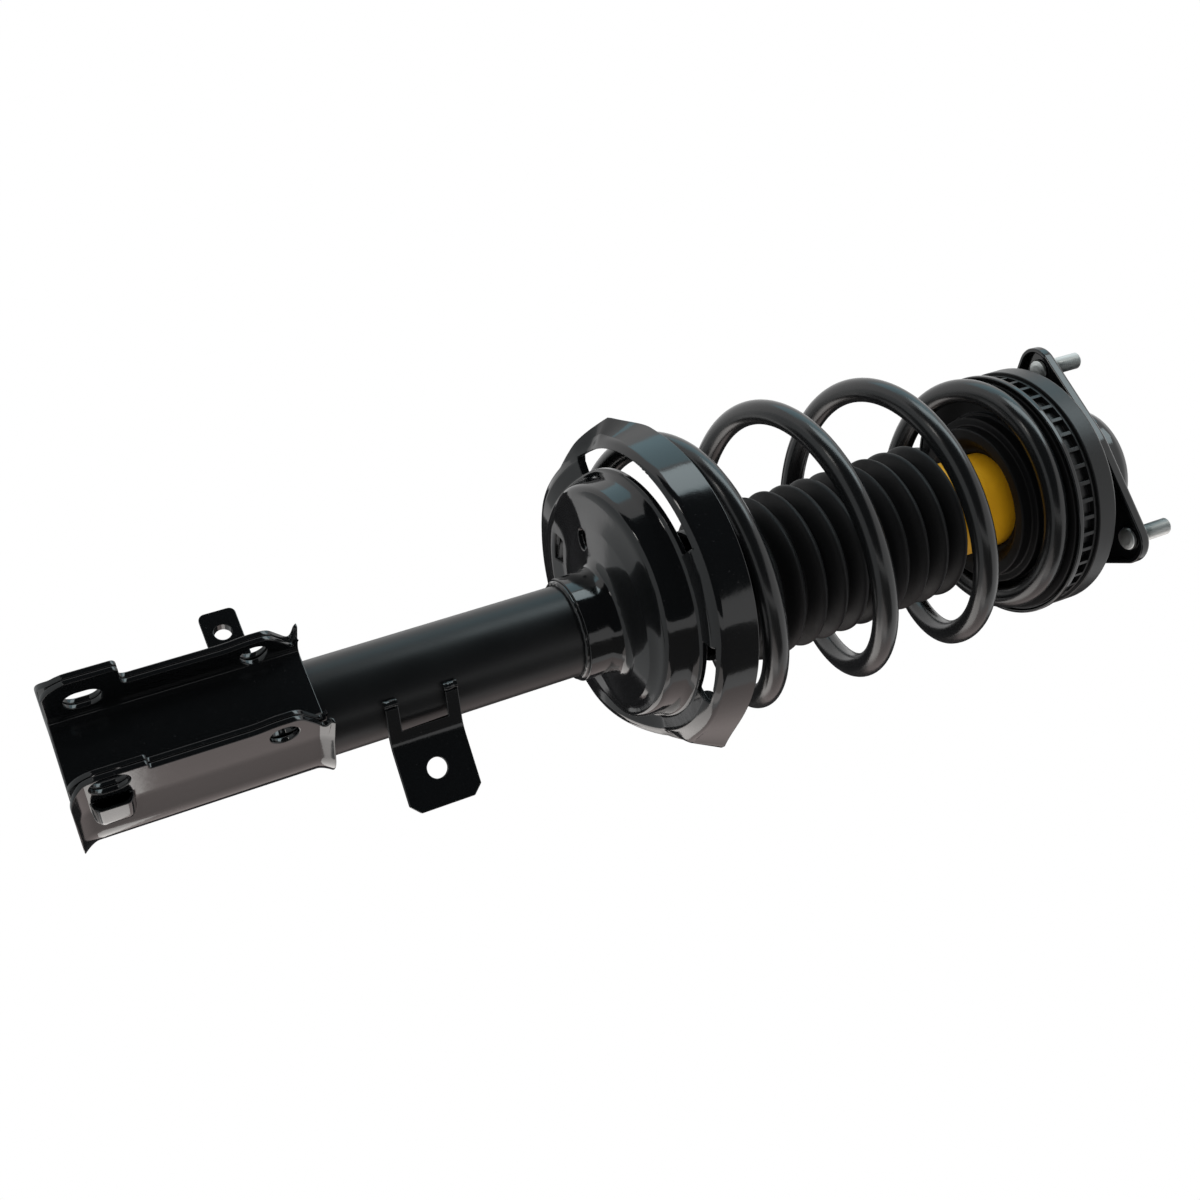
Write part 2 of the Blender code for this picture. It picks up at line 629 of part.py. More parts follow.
def hull(points):
    """Convex outline round a set of points."""
    points = sorted(set(points))

    def half(source):
        line = []
        for point in source:
            while len(line) > 1:
                (ax, ay), (bx, by) = line[-2], line[-1]
                if (bx - ax) * (point[1] - ay) - (by - ay) * (point[0] - ax) > 0:
                    break
                line.pop()
            line.append(point)
        return line[:-1]

    return half(points) + half(reversed(points))


def plate_outline(inset):
    """Three-cornered plate: corner arcs round the studs, bulged sides between them."""
    points = arc((0, 0), PLATE_MIDDLE - inset, 0, 2 * math.pi, ROUND_STEPS)
    for k in range(STUD_COUNT):
        angle = STUD_FIRST + 2 * math.pi * k / STUD_COUNT
        centre = (STUD_CIRCLE * math.cos(angle), STUD_CIRCLE * math.sin(angle))
        points += arc(centre, PLATE_CORNER - inset, 0, 2 * math.pi, ROUND_STEPS)
    return hull(points)


def stud_places():
    for k in range(STUD_COUNT):
        angle = STUD_FIRST + 2 * math.pi * k / STUD_COUNT
        yield Vector((STUD_CIRCLE * math.cos(angle), STUD_CIRCLE * math.sin(angle), 0))


def make_mount():
    plate = finish("mount_plate", pillar(plate_outline(0), -PLATE_RIM_DEPTH, 0), BLACK_PAINT)
    tray = pillar(plate_outline(PLATE_RIM_WALL), -PLATE_RIM_DEPTH - 5 * MM, -PLATE_SHEET)
    change(plate, cutter("plate_tray", tray))
    drum_wall = 3 * MM
    floor = -DRUM_DEPTH + 2.5 * MM
    inner = DRUM_RADIUS - drum_wall
    drum = turned("plate_drum", [(DRUM_RADIUS, -PLATE_SHEET / 2), (DRUM_RADIUS, -DRUM_DEPTH),
                                 (SLEEVE_FLANGE + 3 * MM, -DRUM_DEPTH), (SLEEVE_FLANGE + 3 * MM, floor),
                                 (inner, floor), (inner, -PLATE_SHEET / 2)], BLACK_PAINT)
    drum.hide_render = True
    drum.display_type = "WIRE"
    change(plate, drum, "UNION")
    holes = [drill((0, 0, 0), (0, 0, 1), BUSH_RADIUS + TOUCH, 16 * MM, ROUND_STEPS)]
    for place in stud_places():
        holes.append(drill(place, (0, 0, 1), STUD_RADIUS + TOUCH, 30 * MM, STUD_STEPS))
    change(plate, cutter("plate_holes", join(holes)))

    under = -PLATE_SHEET - TOUCH
    for number, place in enumerate(stud_places(), 1):
        profile = [(STUD_RADIUS - 1.2 * MM, STUD_RISE), (STUD_RADIUS, STUD_RISE - 1.2 * MM),
                   (STUD_RADIUS, under), (STUD_HEAD_RADIUS, under),
                   (STUD_HEAD_RADIUS, under - STUD_HEAD_HEIGHT + 0.6 * MM),
                   (STUD_HEAD_RADIUS - 0.8 * MM, under - STUD_HEAD_HEIGHT)]
        rings = [[(place.x + r * math.cos(2 * math.pi * k / STUD_STEPS),
                   place.y + r * math.sin(2 * math.pi * k / STUD_STEPS), z)
                  for k in range(STUD_STEPS)] for r, z in profile]
        finish("mount_stud_%d" % number, rings_to_shape(rings, False), ZINC)

    shoulder = SLEEVE_BOTTOM
    flange_top = shoulder + FLANGE_HEIGHT
    turned("mount_sleeve", [(SLEEVE_RADIUS, BUSH_TOP), (SLEEVE_RADIUS, flange_top), (SLEEVE_FLANGE, flange_top),
                            (SLEEVE_FLANGE, shoulder), (ROD_THREAD_RADIUS + TOUCH, shoulder),
                            (ROD_THREAD_RADIUS + TOUCH, BUSH_TOP)], STEEL)

    drum_bore = inner - TOUCH
    bush_low = floor + TOUCH
    flange_clear = SLEEVE_FLANGE + 1 * MM
    turned("mount_bush", [(BUSH_RADIUS - 5 * MM, BUSH_TOP), (BUSH_RADIUS, BUSH_TOP - 4 * MM),
                          (BUSH_RADIUS, -PLATE_SHEET - TOUCH), (drum_bore, -PLATE_SHEET - TOUCH),
                          (drum_bore, bush_low), (flange_clear + 2 * MM, bush_low),
                          (flange_clear, bush_low), (flange_clear, flange_top + TOUCH),
                          (SLEEVE_RADIUS + TOUCH, flange_top + TOUCH), (SLEEVE_RADIUS + TOUCH, BUSH_TOP)],
           RUBBER)

    washer_low = BUSH_TOP + TOUCH
    washer_high = washer_low + FLANGE_HEIGHT
    turned("rebound_washer", [(SLEEVE_FLANGE, washer_high), (SLEEVE_FLANGE, washer_low),
                              (ROD_THREAD_RADIUS + TOUCH, washer_low), (ROD_THREAD_RADIUS + TOUCH, washer_high)],
           ZINC)
    nut_low = washer_high + TOUCH
    corner = NUT_FLATS / 2 / math.cos(math.pi / 6)
    nut = finish("rod_nut", pillar(arc((0, 0), corner, 0, 2 * math.pi * 5 / 6, 5), nut_low,
                                   nut_low + NUT_HEIGHT), ZINC)
    change(nut, cutter("rod_nut_bore", drill((0, 0, nut_low), (0, 0, 1), ROD_THREAD_RADIUS + TOUCH, 60 * MM)))

    top = DOME_HEIGHT
    sheet = DOME_SHEET
    outer = [(DOME_FLANGE, TOUCH + sheet), (DOME_RADIUS, TOUCH + sheet), (DOME_RADIUS, top - 7 * MM),
             (DOME_RADIUS - 2.2 * MM, top - 2.2 * MM), (DOME_RADIUS - 7 * MM, top), (DOME_HOLE, top)]
    inner_side = [(DOME_HOLE, top - sheet), (DOME_RADIUS - 7 * MM, top - sheet),
                  (DOME_RADIUS - sheet, top - 7 * MM), (DOME_RADIUS - sheet, TOUCH), (DOME_FLANGE, TOUCH)]
    turned("mount_dome", outer + inner_side, BLACK_PAINT)


# Bearing between the mount and the upper spring seat

def make_bearing():
    skirt = BAND_RADIUS - BAND_SKIRT
    turned("bearing_upper_housing",
           [(BAND_RADIUS - 1.2 * MM, BAND_TOP), (BAND_RADIUS, BAND_TOP - 1.2 * MM), (BAND_RADIUS, BAND_BOTTOM),
            (skirt, BAND_BOTTOM), (skirt, RACE_TOP), (BEARING_BORE, RACE_TOP), (BEARING_BORE, BAND_TOP)],
           BLACK_PLASTIC, WIDE_STEPS)

    pockets = []
    for k in range(BALL_COUNT):
        angle = 2 * math.pi * k / BALL_COUNT
        centre = Vector((BALL_CIRCLE * math.cos(angle), BALL_CIRCLE * math.sin(angle), BALL_HEIGHT))
        ball = bmesh.new()
        bmesh.ops.create_uvsphere(ball, u_segments=8, v_segments=4, radius=BALL_RADIUS,
                                  matrix=Matrix.Translation(centre))
        finish("bearing_ball_%02d" % (k + 1), ball, CHROME)
        pockets.append(drill(centre, (0, 0, 1), BALL_RADIUS + 2 * TOUCH, 20 * MM, 6))
    inner = BALL_CIRCLE - CAGE_WIDTH / 2
    outer = BALL_CIRCLE + CAGE_WIDTH / 2
    low = BALL_HEIGHT - CAGE_HEIGHT / 2
    high = BALL_HEIGHT + CAGE_HEIGHT / 2
    cage = turned("bearing_cage", [(outer, high), (outer, low), (inner, low), (inner, high)],
                  BLACK_PLASTIC, 2 * BALL_COUNT)
    change(cage, cutter("cage_pockets", join(pockets)))

    shelf = skirt - 4 * MM
    housing = turned("bearing_lower_housing",
                     [(shelf, RACE_BOTTOM), (shelf, RIBBED_TOP), (RIBBED_RADIUS, RIBBED_TOP),
                      (RIBBED_RADIUS, RIBBED_BOTTOM), (BEARING_BORE, RIBBED_BOTTOM), (BEARING_BORE, RACE_BOTTOM)],
                     BLACK_PLASTIC, POCKET_COUNT)
    boxes = []
    pitch = 2 * math.pi * RIBBED_RADIUS / POCKET_COUNT
    half = (pitch - POCKET_RIB) / 2
    deep = RIBBED_RADIUS - POCKET_DEPTH
    for k in range(POCKET_COUNT):
        turn = Matrix.Rotation(2 * math.pi * (k + 0.5) / POCKET_COUNT, 4, "Z")
        outline = [(deep, -half), (RIBBED_RADIUS + 3 * MM, -half), (RIBBED_RADIUS + 3 * MM, half), (deep, half)]
        boxes.append(pillar(outline, RIBBED_BOTTOM + POCKET_MARGIN, RIBBED_TOP - POCKET_MARGIN, turn))
    change(housing, cutter("housing_pockets", join(boxes)))


# Upper spring seat, upper insulator, bump stop and dust boot

def make_upper_seat():
    sheet = UPPER_SHEET
    under = UPPER_TOP - sheet
    cup_top = UPPER_TOP + CUP_RISE
    outer = [(UPPER_RADIUS, UPPER_TOP - 1 * MM), (UPPER_RADIUS, under - UPPER_RIM),
             (UPPER_RADIUS - sheet, under - UPPER_RIM), (UPPER_RADIUS - sheet, under),
             (CUP_RADIUS + 1 * MM, under), (CUP_RADIUS - sheet, cup_top - sheet), (CUP_HOLE, cup_top - sheet)]
    inner = [(CUP_HOLE, cup_top), (CUP_RADIUS, cup_top), (CUP_RADIUS + 3 * MM, UPPER_TOP),
             (UPPER_RADIUS - 1 * MM, UPPER_TOP)]
    turned("upper_spring_seat", outer + inner, BLACK_PAINT, WIDE_STEPS)

    flange = INSULATOR_TOP - INSULATOR_SHEET
    profile = [(UPPER_RADIUS - sheet - TOUCH - 1 * MM, INSULATOR_TOP),
               (UPPER_RADIUS - sheet - TOUCH - 1 * MM, flange)]
    height = flange
    for radius, depth in INSULATOR_STEPS:
        profile.append((radius * MM, height))
        height = INSULATOR_TOP - depth * MM
        profile.append((radius * MM, height))
    profile += [(COLLAR_MOUTH, height), (BUMP_RADIUS + 4 * MM, height + 8 * MM), (BUMP_RADIUS + TOUCH, height + 9 * MM),
                (BUMP_RADIUS + TOUCH, INSULATOR_TOP - 1 * MM), (CUP_RADIUS + 2 * MM, INSULATOR_TOP)]
    turned("upper_insulator", profile, RUBBER, WIDE_STEPS)

    bore = ROD_RADIUS + 1 * MM
    neck_low = NECK_TOP - BUMP_NECK_LENGTH
    turned("bump_stop", [(CUP_RADIUS - sheet - 6 * MM, BUMP_TOP), (CUP_RADIUS - sheet - 3.4 * MM, BUMP_TOP - 2 * MM),
                         (BUMP_RADIUS, BUMP_TOP - CUP_RISE - 1 * MM), (BUMP_RADIUS, NECK_TOP + 4 * MM),
                         (BUMP_RADIUS - 1 * MM, NECK_TOP + 1 * MM), (BUMP_NECK, NECK_TOP), (BUMP_NECK, neck_low),
                         (BUMP_RADIUS - 3 * MM, neck_low - 3 * MM), (BUMP_RADIUS - 3 * MM, neck_low - 8 * MM),
                         (BUMP_NECK - 4 * MM, BUMP_BOTTOM + 3 * MM), (BUMP_NECK - 7 * MM, BUMP_BOTTOM),
                         (bore, BUMP_BOTTOM), (bore, BUMP_TOP)], FOAM, SOFT_STEPS)

    collar_low = BOOT_TOP - BOOT_COLLAR
    grip = BUMP_NECK + TOUCH
    bore = BOOT_VALLEY - BOOT_WALL
    outer_side = [(grip + BOOT_WALL, BOOT_TOP), (grip + BOOT_WALL, collar_low)]
    for k in range(BOOT_RIBS):
        height = collar_low - BOOT_PITCH * (k + 0.5)
        outer_side += [(BOOT_CREST, height), (BOOT_VALLEY, height - BOOT_PITCH / 2)]
    bottom = collar_low - BOOT_PITCH * BOOT_RIBS - BOOT_SKIRT
    outer_side += [(BOOT_VALLEY + 1 * MM, bottom)]
    inner_side = [(bore, bottom), (bore, collar_low - BOOT_PITCH / 2), (grip, collar_low), (grip, BOOT_TOP)]
    turned("dust_boot", outer_side + inner_side, RUBBER, SOFT_STEPS)
    print("free travel to the bump stop %.1f mm, boot from %.1f to %.1f mm"
          % (TRAVEL / MM, BOOT_TOP / MM, bottom / MM))


# Knuckle clevis: an outer channel round the tube and a second one nested inside its ears

ALONG_X = Matrix(((0, 0, 1, 0), (1, 0, 0, 0), (0, 1, 0, 0), (0, 0, 0, 1)))   # lays a prism along X


def clevis_path(wrap, ear, edge):
    """Middle line of a channel: ear, pinched shoulder, wrap behind the tube, and back."""
    right = [(ear, edge), (ear, CLEVIS_PINCH + 6 * MM), (ear, CLEVIS_PINCH)]
    back = arc((0, 0), wrap, CLEVIS_TURN, -math.pi - CLEVIS_TURN, 16)
    left = [(-x, y) for x, y in reversed(right)]
    return right + back + left


def channel(name, sections, path, thickness):
    """Loft a bent sheet along Z through (height, flare) stations."""
    rings = []
    for height, flare in sections:
        rings.append([(p.x, p.y, height) for p in ribbon(path, thickness, flare)])
    return finish(name, rings_to_shape(rings, False), BLACK_PAINT)


def ear_trim(lobe, start, end):
    """What is cut away beyond one ear's free edge, as a prism along X from start to end."""
    far = LOBE_EDGE + 30 * MM
    low = CLEVIS_BOTTOM
    high = CLEVIS_TOP
    corner = LOBE_CORNER
    horn_foot = high - HORN_HEIGHT
    bolt = UPPER_BOLT[1]
    edge = [(far, low - corner), (30 * MM, low - corner), (30 * MM, low)]
    edge += arc((lobe - corner, low + corner), corner, -math.pi / 2, 0, 5)
    edge += [(lobe, LOBE_TOP - 2 * MM), (lobe - 2 * MM, LOBE_TOP), (EAR_EDGE + 1 * MM, LOBE_TOP)]
    edge += [(EAR_EDGE, LOBE_TOP + 1 * MM), (EAR_EDGE, bolt - 11 * MM)]
    edge += [(UPPER_LOBE - 1 * MM, bolt - 5 * MM), (UPPER_LOBE, bolt), (UPPER_LOBE, bolt + 6 * MM)]
    edge += [(UPPER_LOBE - 2 * MM, bolt + 10 * MM), (EAR_NOTCH + 2 * MM, horn_foot - 1.5 * MM)]
    edge += [(EAR_NOTCH, horn_foot), (HORN_EDGE, horn_foot + 1 * MM), (HORN_EDGE, high + 10 * MM)]
    edge += [(far, high + 10 * MM)]
    return pillar(edge, start, end, ALONG_X)


def both_trims():
    reach = 2 * CLEVIS_GAP
    return join([ear_trim(LOBE_EDGE_NEAR, -reach, -1 * MM), ear_trim(LOBE_EDGE, 1 * MM, reach)])


def bolt_cut(name):
    """Both bolt holes through both ears; the lower one is a slot for setting the camber."""
    depth = 90 * MM
    round_end = BOLT_HOLE_RADIUS
    half = CAMBER_SLOT / 2
    outline = arc((LOWER_BOLT[0], LOWER_BOLT[1] + half), round_end, 0, math.pi, 12)
    outline += arc((LOWER_BOLT[0], LOWER_BOLT[1] - half), round_end, math.pi, 2 * math.pi, 12)
    slot = pillar(outline, -depth / 2, depth / 2, ALONG_X)
    upper = drill((0, UPPER_BOLT[0], UPPER_BOLT[1]), (1, 0, 0), BOLT_HOLE_RADIUS, depth, 24)
    return cutter(name, join([slot, upper]))


def make_clevis():
    outer_middle = EAR_OUTER - CLEVIS_OUTER_SHEET / 2
    wrap_middle = WRAP_RADIUS - CLEVIS_OUTER_SHEET / 2
    path = clevis_path(wrap_middle, outer_middle, LOBE_EDGE + 2 * MM)
    flared = [(CLEVIS_BOTTOM, FLARE_LOW), (CLEVIS_BOTTOM + 2 * MM, FLARE_LOW * 0.35),
              (CLEVIS_BOTTOM + 6 * MM, 0), (CLEVIS_TOP - 6 * MM, 0),
              (CLEVIS_TOP - 2 * MM, FLARE_HIGH * 0.35), (CLEVIS_TOP, FLARE_HIGH)]
    outer = channel("clevis_outer", flared, path, CLEVIS_OUTER_SHEET)
    change(outer, cutter("outer_trim", both_trims()))
    change(outer, cutter("strap_body", strap_shape(0)), "UNION")
    change(outer, cutter("strap_hollow", strap_shape(2 * MM)))
    change(outer, bolt_cut("outer_bolt_holes"))

    middle = CLEVIS_GAP / 2 + CLEVIS_INNER_SHEET / 2
    web = TUBE_RADIUS + TOUCH + CLEVIS_INNER_SHEET / 2
    corners = [(middle, LOBE_EDGE + 2 * MM), (middle, web), (-middle, web), (-middle, LOBE_EDGE + 2 * MM)]
    inner = channel("clevis_inner", [(CLEVIS_BOTTOM + 1 * MM, 0), (CLEVIS_TOP - 2 * MM, 0)],
                    rounded(corners, 4 * MM), CLEVIS_INNER_SHEET)
    change(inner, cutter("inner_trim", both_trims()))
    change(inner, bolt_cut("inner_bolt_holes"))


def ear_face(y):
    """Distance of an ear's outer face from the strut's middle plane."""
    part = min(max(y / CLEVIS_PINCH, 0.0), 1.0)
    return WRAP_RADIUS + (EAR_OUTER - WRAP_RADIUS) * part


def strap_shape(wall):
    """Louvre pressed out of one ear, below its lower bolt hole; a wall gives its hollow."""
    low, high = STRAP_SPAN
    half = STRAP_WIDTH / 2 - wall
    crown = EAR_OUTER + STRAP_RISE - wall
    if wall:
        through = EAR_OUTER - CLEVIS_OUTER_SHEET - TOUCH / 2
        outside = EAR_OUTER + 0.02 * MM
        outline = [(-through, low + 8 * MM), (-crown, low + 8 * MM), (-crown, high + 5 * MM),
                   (-outside, high + 5 * MM), (-outside, high), (-through, high)]
    else:
        root = low + 1 * MM
        outline = [(1 * MM - ear_face(root), root), (-crown, low + 5 * MM), (-crown, high),
                   (1 * MM - ear_face(high), high)]
    return pillar(outline, STRAP_HEIGHT - half, STRAP_HEIGHT + half)


# Brake-hose bracket and sensor-wire tab

def make_brackets():
    lean = HOSE_WELD_ANGLE
    middle = TUBE_RADIUS + TOUCH + HOSE_SHEET / 2
    tangent = Vector((middle * math.cos(lean), middle * math.sin(lean)))
    slope = Vector((math.sin(lean), -math.cos(lean)))
    start = tangent - slope * HOSE_LEG_LENGTH
    bend = tangent + slope * ((HOSE_BEND - tangent.x) / slope.x)
    path = rounded([start, bend, (HOSE_REACH, bend.y)], 4 * MM)
    outline = [(p.x, -p.y) for p in ribbon(path, HOSE_SHEET)]
    turn = Matrix.Rotation(HOSE_SIDE, 4, "Z")
    half = HOSE_WIDTH / 2
    bracket = finish("hose_bracket", pillar(outline, HOSE_HEIGHT - half, HOSE_HEIGHT + half, turn), BLACK_PAINT)
    cuts = [drill(turn @ Vector((HOSE_HOLE_REACH, -bend.y, HOSE_HEIGHT)), turn @ Vector((0, 1, 0)),
                  HOSE_HOLE_RADIUS, 20 * MM)]
    slot = [(start.x - 10 * MM, -45 * MM), (HOSE_BEND - 6 * MM, -45 * MM), (HOSE_BEND - 6 * MM, 0),
            (start.x - 10 * MM, 0)]
    cuts.append(pillar(slot, HOSE_HEIGHT - HOSE_SLOT / 2, HOSE_HEIGHT + HOSE_SLOT / 2, turn))
    for side in (-1, 1):
        z = HOSE_HEIGHT + side * half
        corner = [(HOSE_REACH + 1 * MM, z - side * HOSE_CORNER), (HOSE_REACH + 1 * MM, z + side * 1 * MM),
                  (HOSE_REACH - HOSE_CORNER, z + side * 1 * MM)]
        lay = turn @ Matrix(((1, 0, 0, 0), (0, 0, 1, 0), (0, 1, 0, 0), (0, 0, 0, 1)))
        cuts.append(pillar(corner, -bend.y - 8 * MM, -bend.y + 8 * MM, lay))
    change(bracket, cutter("hose_cuts", join(cuts)))

    shoulder_slope = (WRAP_RADIUS - EAR_OUTER) / CLEVIS_PINCH
    away = TOUCH + TAB_SHEET / 2 + 0.2 * MM
    foot = (WRAP_RADIUS - 2 * MM * shoulder_slope + away, 2 * MM)
    heel = (WRAP_RADIUS - (TAB_PLANE - 1 * MM) * shoulder_slope + away, TAB_PLANE - TAB_SHEET / 2)
    outline = ribbon(rounded([foot, heel, (TAB_REACH, TAB_PLANE - TAB_SHEET / 2)], 2 * MM), TAB_SHEET)
    low = TAB_HEIGHT - TAB_WIDTH / 2
    high = TAB_HEIGHT + TAB_WIDTH / 2
    tab = finish("sensor_tab", pillar(outline, low, high), BLACK_PAINT)
    centre = (TAB_HOLE_REACH, TAB_PLANE - TAB_SHEET, TAB_HEIGHT)
    collar = drill((centre[0], TAB_PLANE - TAB_SHEET - TAB_COLLAR / 2, centre[2]), (0, 1, 0),
                   TAB_HOLE_RADIUS + 1.8 * MM, TAB_COLLAR + 1 * MM)
    change(tab, cutter("tab_collar", collar), "UNION")
    change(tab, cutter("tab_hole", drill(centre, (0, 1, 0), TAB_HOLE_RADIUS, 30 * MM)))


make_damper()
make_rod()
make_lower_seat()
make_spring()
make_mount()
make_bearing()
make_upper_seat()
make_clevis()
make_brackets()
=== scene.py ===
"""Looks of a car's front suspension strut: painted steel, rubber boot, side-load spring, top mount."""
from math import acos, cos, exp, pi, radians, sin

import bmesh
import bpy
from mathutils import Matrix, Vector


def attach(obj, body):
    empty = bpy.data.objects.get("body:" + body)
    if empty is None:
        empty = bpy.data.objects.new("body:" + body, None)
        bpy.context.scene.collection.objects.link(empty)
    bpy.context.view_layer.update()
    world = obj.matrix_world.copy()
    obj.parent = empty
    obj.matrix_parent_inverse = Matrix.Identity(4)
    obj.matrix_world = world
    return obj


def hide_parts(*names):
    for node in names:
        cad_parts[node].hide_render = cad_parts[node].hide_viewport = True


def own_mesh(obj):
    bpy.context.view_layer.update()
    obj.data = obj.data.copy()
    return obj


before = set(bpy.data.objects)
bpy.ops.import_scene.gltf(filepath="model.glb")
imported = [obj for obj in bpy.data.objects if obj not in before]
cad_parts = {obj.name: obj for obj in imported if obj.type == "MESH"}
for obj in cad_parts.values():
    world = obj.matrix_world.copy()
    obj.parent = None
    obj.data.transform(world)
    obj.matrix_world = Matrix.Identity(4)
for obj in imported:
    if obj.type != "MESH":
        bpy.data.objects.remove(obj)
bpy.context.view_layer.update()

# The studio, in metres. The strut lies askew to the camera, so OVER is the picture's upward direction.
# White paper all round, a cool softbox over the strut, a warm one below, and dark flags that keep the
# black paint black.
RIGHT = Vector((-0.4158, 0.1691, 0.8936))
OVER = Vector((0.8058, 0.5241, 0.2757))
AHEAD = Vector((0.4217, -0.8347, 0.3542))
LENS_PLACE = Vector((-0.3253, 0.6670, -0.5979))
MIDDLE = Vector((0, 0, -0.3))


def placed(name, data):
    """A new object in the scene."""
    made = bpy.data.objects.new(name, data)
    bpy.context.scene.collection.objects.link(made)
    return made


def facing(right, up, back, place):
    """The matrix of an object with these three axes at a place."""
    return Matrix([(right[k], up[k], back[k], place[k]) for k in range(3)] + [(0, 0, 0, 1)])


lens = bpy.data.cameras.new("camera")
lens.lens = 43.4565
lens.sensor_width = 36
lens.clip_start = 0.01
camera = placed("camera", lens)
camera.matrix_world = facing(RIGHT, OVER, -AHEAD, LENS_PLACE)
bpy.context.scene.camera = camera
bpy.context.scene.view_settings.view_transform = "Standard"


class Wire:
    """One socket of a shader or geometry tree, so that patterns and shapes can be written as sums."""

    def __init__(self, tree, socket):
        self.tree = tree
        self.socket = socket

    def node(self, kind, settings=None, inputs=None, out=0):
        """Add a node: its settings first, then the values or wires of its inputs."""
        made = self.tree.nodes.new(kind)
        for key, value in (settings or {}).items():
            if key == "stops":
                for stop, (place, shade) in zip(made.color_ramp.elements, value):
                    stop.position = place
                    stop.color = (shade, shade, shade, 1)
            else:
                setattr(made, key, value)
        for key, value in (inputs or {}).items():
            if isinstance(value, Wire):
                self.tree.links.new(value.socket, made.inputs[key])
            else:
                made.inputs[key].default_value = value
        return Wire(self.tree, made.outputs[out])

    def also(self, out):
        """Another output of the same node."""
        return Wire(self.tree, self.socket.node.outputs[out])

    def maths(self, operation, other=0.0, swap=False):
        first, second = (other, self) if swap else (self, other)
        return self.node("ShaderNodeMath", {"operation": operation}, {0: first, 1: second})

    def __add__(self, other):
        return self.maths("ADD", other)

    __radd__ = __add__

    def __mul__(self, other):
        return self.maths("MULTIPLY", other)

    __rmul__ = __mul__

    def __sub__(self, other):
        return self.maths("SUBTRACT", other)

    def __rsub__(self, other):
        return self.maths("SUBTRACT", other, swap=True)

    def __truediv__(self, other):
        return self.maths("DIVIDE", other)

    def capped(self):
        return self.node("ShaderNodeMath", {"operation": "MULTIPLY", "use_clamp": True}, {0: self, 1: 1.0})


AIR_LIGHT = 0.55                 # what the paper room gives to matt surfaces
room = bpy.data.worlds.new("room")
room.use_nodes = True
bpy.context.scene.world = room
backdrop = room.node_tree.nodes["Background"]
backdrop.inputs["Color"].default_value = (1, 1, 1, 1)
rays = Wire(room.node_tree, None).node("ShaderNodeLightPath")
seen = (rays.also("Is Camera Ray") + rays.also("Is Glossy Ray") + rays.also("Is Transmission Ray")).capped()
room.node_tree.links.new((seen * (1 - AIR_LIGHT) + AIR_LIGHT).socket, backdrop.inputs["Strength"])
END_ON = 0.9                     # a card this nearly over or under the strut is squared to RIGHT


def card(name, toward, distance, wide, high, colour, glow):
    """A flat card that faces the strut and shows only in reflections."""
    toward = toward.normalized()
    centre = MIDDLE + toward * distance
    across = toward.cross(OVER if abs(toward.dot(OVER)) < END_ON else RIGHT).normalized()
    along = toward.cross(across).normalized()
    sheet = bpy.data.meshes.new(name)
    sheet.from_pydata([tuple(centre + across * wide / 2 * a + along * high / 2 * b)
                       for a, b in ((-1, -1), (1, -1), (1, 1), (-1, 1))], [], [(0, 1, 2, 3)])
    made = placed(name, sheet)
    paint = bpy.data.materials.new(name)
    paint.use_nodes = True
    tree = paint.node_tree
    tree.nodes.clear()
    end = tree.nodes.new("ShaderNodeOutputMaterial")
    light = Wire(tree, None).node("ShaderNodeEmission", None, {"Color": (*colour, 1), "Strength": glow})
    tree.links.new(light.socket, end.inputs["Surface"])
    sheet.materials.append(paint)
    for ray in ("camera", "shadow", "diffuse", "transmission"):
        setattr(made, "visible_" + ray, False)


# Cards and softboxes: name, direction from the strut, distance, width, height, colour, strength.
card("flag_front", -AHEAD + OVER * 0.35, 1.3, 2.8, 3.0, (0.5, 0.52, 0.55), 0.03)
card("flag_low", -OVER - AHEAD * 0.5, 1.25, 2.8, 1.1, (0.6, 0.57, 0.55), 0.16)
card("flag_back", AHEAD - OVER * 0.3, 1.3, 2.6, 1.5, (0.5, 0.5, 0.52), 0.08)
card("warm_side", AHEAD * 0.5 - OVER * 0.87, 1.3, 2.2, 0.9, (1.0, 0.87, 0.84), 0.9)
card("warm_end", AHEAD * 0.46 - OVER * 0.87 - RIGHT * 0.42, 1.25, 0.62, 0.9, (1.0, 0.96, 0.93), 2.6)
card("cool_over", OVER + AHEAD * 0.2 + RIGHT * 0.12, 1.3, 0.6, 1.3, (0.62, 0.9, 1.0), 1.7)
for name, toward, distance, wide, high, colour, power in (
        ("softbox_over", OVER - AHEAD * 0.25 + RIGHT * 0.5, 1.1, 1.1, 0.4, (0.78, 0.95, 1.0), 5),
        ("softbox_front", -AHEAD * 0.9 - RIGHT * 0.7 + OVER * 0.7, 1.3, 0.3, 0.16, (1.0, 0.97, 0.93), 1.2),
        ("softbox_low", -OVER - AHEAD * 0.15 - RIGHT * 0.2, 1.2, 1.2, 0.6, (1.0, 0.93, 0.9), 2.5)):
    lamp = bpy.data.lights.new(name, "AREA")
    lamp.shape = "RECTANGLE"
    lamp.size = wide
    lamp.size_y = high
    lamp.color = colour
    lamp.energy = power
    inward = -toward.normalized()
    across = (RIGHT - inward * RIGHT.dot(inward)).normalized()
    box = placed(name, lamp)
    box.matrix_world = facing(across, (-inward).cross(across), -inward, MIDDLE - inward * distance)

TURN = 2 * pi
FLOOR_HEIGHT = -0.80
FLOOR_RADIUS = 0.75
FLOOR_SIDES = 64


def polar(radius, angle):
    return radius * cos(angle), radius * sin(angle)


